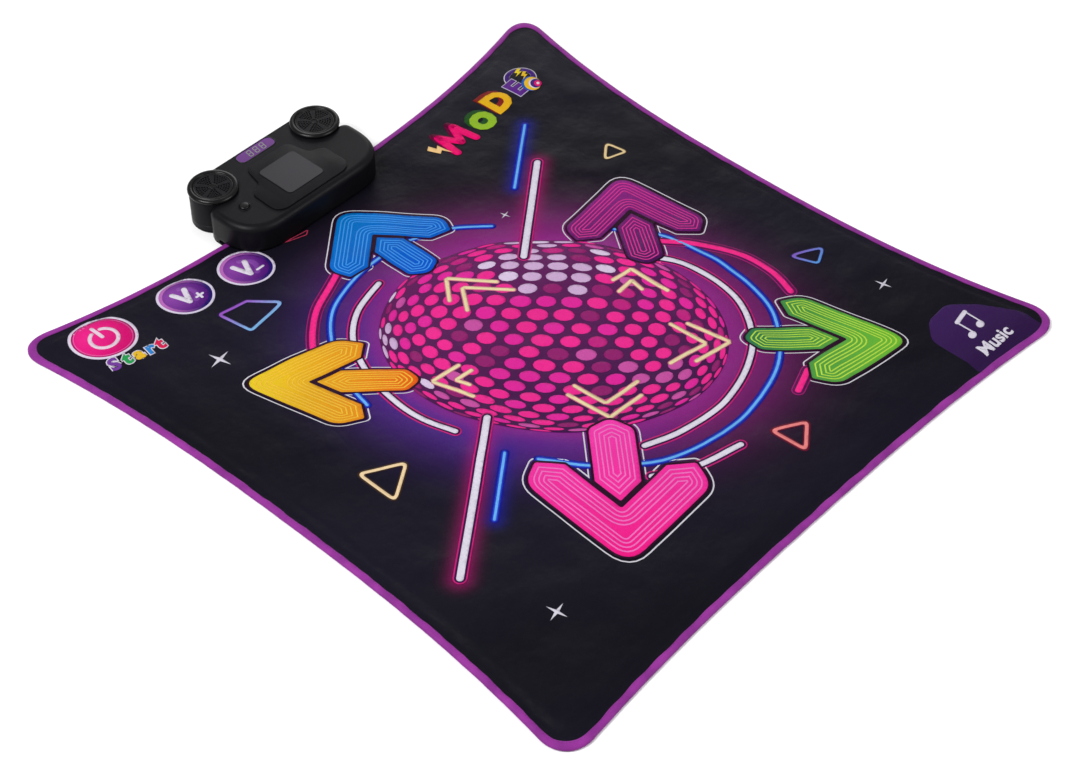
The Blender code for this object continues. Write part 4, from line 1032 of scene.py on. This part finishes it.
bm = bmesh.new()
for (x, y), (dx, dy) in zip(on_line(marks), on_line(marks + 0.001) - on_line(marks)):
    if from_console(x, y) > 0.002:
        spot = Matrix.Translation((x, y, STITCH_HIGH)) @ Matrix.Rotation(math.atan2(dy, dx), 4, "Z")
        bmesh.ops.create_icosphere(bm, subdivisions=1, radius=1.0, matrix=spot @ STITCH_SHAPE)
thread, shader, place = new_material("sewing_thread", Specular_IOR_Level=0.3)
vary(thread, shader, place, "Base Color", 500, 3.0, srgb(92, 24, 94), srgb(120, 44, 122))
vary(thread, shader, place, "Roughness", 900, 3.0, 0.5, 0.7)
stitches = add_piece("tape_stitches", bm, thread)
print("stitches:", len(marks))

# %% [markdown]
# ## The underside
#
# The back of the mat is a plain dark cloth with rows of tiny rubber dots, which stop it sliding. It is a second thin
# sheet, cut out round the console's foot plate: the faces over the plate go, and the points left at the rim slide
# out to the plate's outline. The dots are a bump and a change of gloss in its material, set out on a regular grid.

# %% Base cloth
BASE_CELL, BASE_HIGH, BASE_THICK, BASE_IN, NEAR_CONSOLE = 0.010, 0.0009, 0.0007, 0.004, 0.03
FOOT_REACH, FOOT_SPINE = 0.0526, (-0.106, 0.036, 0.402)
bm = bmesh.new()
bm.faces.new([bm.verts.new((x, y, 0)) for x, y in mat_ring(BASE_IN)[::2]])
cut_cells(bm, BASE_CELL)
close = {e for f in bm.faces if from_console(*f.calc_center_median()[:2]) < NEAR_CONSOLE for e in f.edges}
bmesh.ops.subdivide_edges(bm, edges=list(close), cuts=1, use_grid_fill=True)


def foot_spine(place):
    """The nearest point inside the foot plate that is one corner radius from its outline."""
    left, right, front = FOOT_SPINE
    return Vector((min(max(place.x, left), right), max(place.y, front), place.z))


over = [f for f in bm.faces if all((v.co - foot_spine(v.co)).length < FOOT_REACH for v in f.verts)]
bmesh.ops.delete(bm, geom=over, context="FACES")
for vert in bm.verts:
    away = vert.co - foot_spine(vert.co)
    if away.length < FOOT_REACH:
        vert.co += away * (FOOT_REACH / away.length - 1)
bmesh.ops.translate(bm, verts=bm.verts[:], vec=(0, 0, BASE_HIGH))
print("faces cut out under the console:", len(over))

# %% Grip cloth
grip, shader, place = new_material("grip_cloth", Specular_IOR_Level=0.3)
dots_at = pattern(grip, place, "Voronoi", Scale=170, Randomness=0.0)
dot = ramp(grip, dots_at, "Distance", 1.0, 0.0, 0.22, 0.30)
tone = ramp(grip, noise_at(grip, place, 30, 4.0), "Fac", srgb(26, 26, 29), srgb(36, 36, 40))
spotted = build(grip, "MixRGB", Color2=(*srgb(14, 14, 15), 1.0))
wire(grip, dot, "Color", spotted, "Fac")
wire(grip, tone, "Color", spotted, "Color1")
wire(grip, spotted, "Color", shader, "Base Color")
wire(grip, ramp(grip, dots_at, "Distance", 0.42, 0.82, 0.22, 0.30), "Color", shader, "Roughness")
weave = bump(grip, noise_at(grip, place, 700, 2.0), "Fac", 0.0001)
wire(grip, bump(grip, dot, "Color", 0.0004, 0.8, weave), "Normal", shader, "Normal")
base_cloth = add_piece("base_cloth", bm, grip, thickness=BASE_THICK)
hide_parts("mat_base_cloth")
print("base cloth cells:", len(base_cloth.data.polygons))

# %% [markdown]
# ## Black plastics
#
# The console is moulded in black ABS. Its sides and top have a fine spark texture and a low gloss, the grille rims
# are smoother and shinier. One recipe, in which the tone, the gloss and the grain each follow a noise of their own,
# makes both, and later the finishes of the small parts too.

# %% Plastic finishes
BLACK_SCALES = (14, 60, 1500)


def finish(name, dark, light, gloss, grain, scales, detail=5.0, **sockets):
    """A finish whose tone, gloss and grain follow noise at three scales."""
    material, shader, place = new_material(name, **sockets)
    vary(material, shader, place, "Base Color", scales[0], 4.0, srgb(*dark), srgb(*light))
    vary(material, shader, place, "Roughness", scales[1], detail, *gloss)
    relief = bump(material, noise_at(material, place, scales[2], 2.0), "Fac", grain)
    wire(material, relief, "Normal", shader, "Normal")
    return material


black_shell = finish("black_shell", (12, 12, 15), (16, 16, 19), (0.33, 0.41), 0.00010, BLACK_SCALES,
                     Specular_IOR_Level=0.09)
black_gloss = finish("black_gloss", (10, 10, 12), (14, 14, 16), (0.19, 0.27), 0.00003, BLACK_SCALES,
                     Specular_IOR_Level=0.20)
print("plastics:", black_shell.name, black_gloss.name)

# %% [markdown]
# ## The console's housing
#
# The housing is a hollow tray turned upside down: an outline with two big round front corners, a wall, and a top
# that rolls over a soft edge. The outline is drawn once and drawn again a little further in for each step of the
# rolled edge, so extruding ring after ring gives an even round. The top is filled round its openings, and Solidify
# gives the wall its thickness.

# %% Housing
CONSOLE_X, ON_MAT, BACK = -35.0, 416.0, 490.0
SHELL_TOP, EDGE_ROUND, SHELL_LOW, OVER_MAT, SHELL_WALL = 48.0, 9.0, 3.1, 8.9, 0.0018


def on_console(corners):
    """Corners measured from the console's middle line, moved to where it stands."""
    return [(x + CONSOLE_X, y, radius) for x, y, radius in corners]


SHELL = on_console([(-123, 350, 60), (123, 350, 60), (123, 415.6, 0), (123, 416.4, 0), (123, 436, 15), (90, 436, 0),
                    (90, 490, 0), (-90, 490, 0), (-90, 436, 0), (-123, 436, 15), (-123, 416.4, 0), (-123, 415.6, 0)])
WINDOW = on_console([(-31, 467.3, 10.716), (31, 467.3, 10.716), (31, 486.1, 10.716), (-31, 486.1, 10.716)])
BUTTON = (CONSOLE_X - 86.0, 404.0)


def shell_ring(inset, height):
    ring = rounded(SHELL, inset, 0.9, 22)
    low = np.where(ring[:, 1] < ON_MAT, OVER_MAT, SHELL_LOW)
    z = np.maximum(low, height) if height < 10 else np.full(len(ring), height)
    ring[:, 1] = np.where(ring[:, 1] > 470, BACK - inset * 0.3, ring[:, 1])
    return np.column_stack((ring, z)) * MM


def rolled(edge, top, steps):
    """The inset and height of each step of a quarter round that ends level with the top."""
    return [(edge * (1 - math.cos(a)), top - edge * (1 - math.sin(a))) for a in np.linspace(0, math.pi / 2, steps)]


def opening(bm, outline, depth):
    """A hole in the level top with a short wall going down. Returns the edges of its rim."""
    return loft(bm, [level(outline, SHELL_TOP - depth), level(outline, SHELL_TOP)])[1]


bm = bmesh.new()
steps = [(0, 3), (0, 12), *rolled(EDGE_ROUND, SHELL_TOP, 9), (EDGE_ROUND + 0.6, SHELL_TOP)]
top_rim = loft(bm, [shell_ring(*step) for step in steps])[1]
top_rim += opening(bm, rounded(WINDOW, 0, 0.499, 10), 1.0) + opening(bm, round_shape(BUTTON, 6.9), 2.4)
bmesh.ops.triangle_fill(bm, edges=top_rim, use_beauty=True)
close_up(bm)
face_up(bm)
housing = add_piece("housing", bm, black_shell, sharp=38, thickness=SHELL_WALL)
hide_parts("console_top")
print("housing faces:", len(housing.data.polygons))

# %% [markdown]
# ## Drums and grilles
#
# Two speaker drums stand behind the shoulders, each with a thick shiny rim that overhangs it. Such round parts are
# a profile spun about an upright axis. The grille plate is flat with many small holes in five fans, which is a
# filled outline with round gaps in it, thickened.

# %% Drums
DRUM_X, DRUM_Y = 90.0, 459.0
DRUM = [(24.2, 40), (24.2, 48.2), (24.8, 48.7), (29.5, 48.7), (31.2, 48.1), (32.0, 46.6), (32.0, 12.0), (32.1, 11.6),
        (31.6, 11.2), (32.1, 10.8), (32.1, 3.6), (31.6, 3.1), (29.8, 3.1), (29.8, 40)]
RIM = [(26.6, 49.3), (26.5, 52.6), (26.9, 53.4), (27.8, 53.9), (29.4, 54.1), (31.2, 53.8), (32.6, 52.9), (33.4, 51.6),
       (33.5, 50.4), (33.2, 49.4), (32.2, 48.8), (28.0, 48.8)]
STEP = [(24.0, 49.8), (24.1, 52.7), (24.4, 53.0), (25.6, 53.1), (26.0, 52.7), (26.9, 52.2), (26.9, 49.8)]
CENTRE = [(3.4, 52.0), (3.5, 52.9), (4.2, 53.3), (5.0, 52.9), (5.2, 52.0)]


def spun(middle, *profiles):
    """Closed profiles of (radius, height), each with a number of steps, turned about an upright axis."""
    bm = bmesh.new()
    x, y = middle[0] * MM, middle[1] * MM
    for profile, steps in profiles:
        verts, edges = closed_ring(bm, [(x + radius * MM, y, height * MM) for radius, height in profile])
        bmesh.ops.spin(bm, geom=verts + edges, cent=(x, y, 0), axis=(0, 0, 1), angle=2 * math.pi, steps=steps,
                       use_merge=True)
    close_up(bm)
    return bm


print("profile points:", len(DRUM), len(RIM), len(STEP), len(CENTRE))

# %% Speakers
HOLE, HOLE_GAP, HOLE_ROWS, FANS, FAN_HALF = 1.34, 3.4, np.arange(7.6, 23.2, 3.3), 5, 25.0
GRILLE_RADIUS, GRILLE_TOP, GRILLE_THICK = 24.6, 52.5, 0.0011


def holed_plate(middle):
    """A round plate with fans of small holes, and the number of its holes."""
    loops = [round_shape(middle, GRILLE_RADIUS, 64)]
    for radius in HOLE_ROWS:
        across = int(2 * math.radians(FAN_HALF) * radius / HOLE_GAP) + 1
        for fan in range(FANS):
            turns = math.radians(90 + 72 * fan) + (np.arange(across) - (across - 1) / 2) * HOLE_GAP / radius
            loops += [round_shape(spot, HOLE, 8) for spot in around(middle, radius, turns)]
    bm = bmesh.new()
    edges = [edge for outline in loops for edge in closed_ring(bm, level(outline, GRILLE_TOP))[1]]
    bmesh.ops.triangle_fill(bm, edges=edges, use_beauty=True)
    bmesh.ops.recalc_face_normals(bm, faces=bm.faces[:])
    face_up(bm)
    return bm, len(loops) - 1


for side, x in (("left", CONSOLE_X - DRUM_X), ("right", CONSOLE_X + DRUM_X)):
    middle = (x, DRUM_Y)
    add_piece("drum_" + side, spun(middle, (DRUM, 96)), black_shell, sharp=40)
    rings = spun(middle, (RIM, 96), (STEP, 64), (CENTRE, 64))
    add_piece("grille_rim_" + side, rings, black_gloss)
    bm, holes = holed_plate(middle)
    plate = add_piece("grille_plate_" + side, bm, black_shell, smooth=False, thickness=GRILLE_THICK)
    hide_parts("speaker_grille_" + side)
    print(side, "grille:", holes, "holes,", len(plate.data.polygons), "faces")

# %% [markdown]
# ## Centre plate, button and display
#
# A thin raised plate with S-shaped sides carries a square panel in the middle of the console. Beside it is one push
# button in a collar, and behind it a violet window shows three digits that are switched off. The plate and the panel
# are lofted outlines with a small round at their top edge.

# %% Centre plate
PLATE = on_console([(-65, 361, 20), (65, 361, 20), (64, 414, 12), (44, 421, 12), (36, 456, 13), (-36, 456, 13),
                    (-44, 421, 12), (-64, 414, 12)])
PANEL = on_console([(-32, 376.5, 8), (32, 376.5, 8), (32, 439.5, 8), (-32, 439.5, 8)])


def slab(bm, corners, low, high, edge):
    """A level slab with a rounded top edge, closed above and below."""
    steps = [(0, low), *rolled(edge, high, 5)]
    rings = [level(rounded(corners, inset, 0.48, 12), height) for inset, height in steps]
    verts, top = loft(bm, rings)
    bmesh.ops.triangle_fill(bm, edges=top, use_beauty=True)
    bm.faces.new(verts[:len(rings[0])][::-1])


bm = bmesh.new()
slab(bm, PLATE, 47.9, 49.9, 0.7)
slab(bm, PANEL, 49.6, 50.2, 0.3)
close_up(bm)
raised = add_piece("raised_plate", bm, black_shell, sharp=40)
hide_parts("centre_plate")
print("raised plate faces:", len(raised.data.polygons))

# %% Button
CAP = [(0.0, 50.8), (3.6, 50.75), (5.2, 50.55), (6.0, 50.1), (6.35, 49.3), (6.4, 46.2), (0.0, 46.2)]
COLLAR = [(6.9, 47.8), (6.9, 48.5), (7.2, 48.9), (7.9, 48.9), (8.4, 48.5), (8.6, 47.8)]
cap = add_piece("button_cap", spun(BUTTON, (CAP, 56)), black_gloss, body="power_button")
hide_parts("power_button")
add_piece("button_collar", spun(BUTTON, (COLLAR, 56)), black_shell)
print("button at", BUTTON)

# %% Display
BEZEL = [(0.6, 47.6), (0.6, 48.2), (0.2, 48.45), (-0.5, 48.45), (-0.9, 48.2), (-0.9, 47.6)]
bm = bmesh.new()
loft(bm, [level(rounded(WINDOW, inset, 0.499, 12), height) for inset, height in BEZEL + BEZEL[:1]])
close_up(bm)
add_piece("display_bezel", bm, black_gloss)

SEGMENT_LONG, SEGMENT_WIDE, SEGMENT_TOP, SEGMENT_THICK = 5.6, 1.25, 47.96, 0.00005
DIGIT_LEFT, DIGIT_STEP, DIGIT_Y, SLANT = CONSOLE_X - 9.5, 11.0, 477.0, 0.12
half, thin = SEGMENT_LONG / 2, SEGMENT_WIDE / 2
BAR = np.array([(-half, 0), (thin - half, -thin), (half - thin, -thin), (half, 0), (half - thin, thin),
                (thin - half, thin)])
UPRIGHT_BAR = BAR[:, ::-1] * (-1, 1)
bm = bmesh.new()
for digit in range(3):
    bars = [(0, row, BAR) for row in (-1, 0, 1)]
    bars += [(side * half, row, UPRIGHT_BAR) for row in (-0.5, 0.5) for side in (-1, 1)]
    for shift, row, bar in bars:
        x = DIGIT_LEFT + digit * DIGIT_STEP + shift + 0.7 * row
        outline = np.column_stack((x + bar[:, 0] + SLANT * bar[:, 1], DIGIT_Y + row * SEGMENT_LONG + bar[:, 1]))
        bm.faces.new([bm.verts.new(place) for place in level(outline, SEGMENT_TOP)])
unlit, shader, place = new_material("unlit_segment", Specular_IOR_Level=0.4)
vary(unlit, shader, place, "Base Color", 300, 3.0, srgb(96, 104, 92), srgb(116, 124, 108))
vary(unlit, shader, place, "Roughness", 500, 3.0, 0.28, 0.4)
segments = add_piece("digit_segments", bm, unlit, smooth=False, thickness=SEGMENT_THICK)
print("segments:", len(segments.data.polygons))

# %% [markdown]
# ## Finishes for the other solids
#
# The remaining solids keep their shape and get a finish for what they are made of: clear violet plastic for the
# window, a plain dark sticker, rubber feet, plated screws, paper cones, boards, cells and foam.

# %% Finishes by material
def plain(name, dark, light, rough, scale=40.0, grain=0.00005, **sockets):
    """A finish with one scale that sets the other two."""
    scales = (scale, scale * 5, scale * 18)
    return finish(name, dark, light, (rough * 0.92, rough * 1.08), grain, scales, 3.0, **sockets)


FINISHES = {
    "steel": plain("plated_steel", (150, 150, 152), (184, 184, 186), 0.30, 120, Metallic=1.0),
    "cell_jacket": plain("cell_jacket", (30, 92, 60), (36, 104, 68), 0.34),
    "black_plastic": black_shell,
    "component": plain("component_black", (22, 22, 24), (30, 30, 33), 0.5),
    "board": plain("board_green", (18, 70, 40), (24, 84, 50), 0.42, 90, Coat_Weight=0.3),
    "purple_window": plain("violet_window", (78, 28, 100), (92, 36, 116), 0.16, 20, 0.00001,
                           Coat_Weight=0.6, Coat_Roughness=0.06),
    "sticker": plain("plain_sticker", (26, 24, 30), (30, 28, 34), 0.34, 12, 0.00001, Specular_IOR_Level=0.35),
    "film": plain("clear_film", (190, 196, 200), (206, 210, 214), 0.3),
    "foam": plain("white_foam", (214, 212, 206), (230, 228, 222), 0.9, 160, 0.0006),
    "rubber": plain("rubber", (24, 24, 25), (34, 34, 35), 0.82, 200, 0.0001),
    "carbon_pad": plain("carbon_pad", (28, 28, 29), (38, 38, 39), 0.7),
    "grip_cloth": grip,
    "printed_cloth": satin,
    "binding_tape": tape_cloth,
    "paper_cone": plain("paper_cone", (34, 33, 32), (48, 47, 45), 0.85, 160, 0.0003),
    "magnet": plain("magnet", (62, 62, 66), (80, 80, 84), 0.45, 90, Metallic=0.7),
}
painted = 0
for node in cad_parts:
    for place in bpy.data.objects[node].material_slots:
        slot = place.material.name.split(".")[0]
        if slot in FINISHES:
            place.material = FINISHES[slot]
            painted += 1
        else:
            print("no finish for", node, place.material.name)
print("finished solids:", painted)
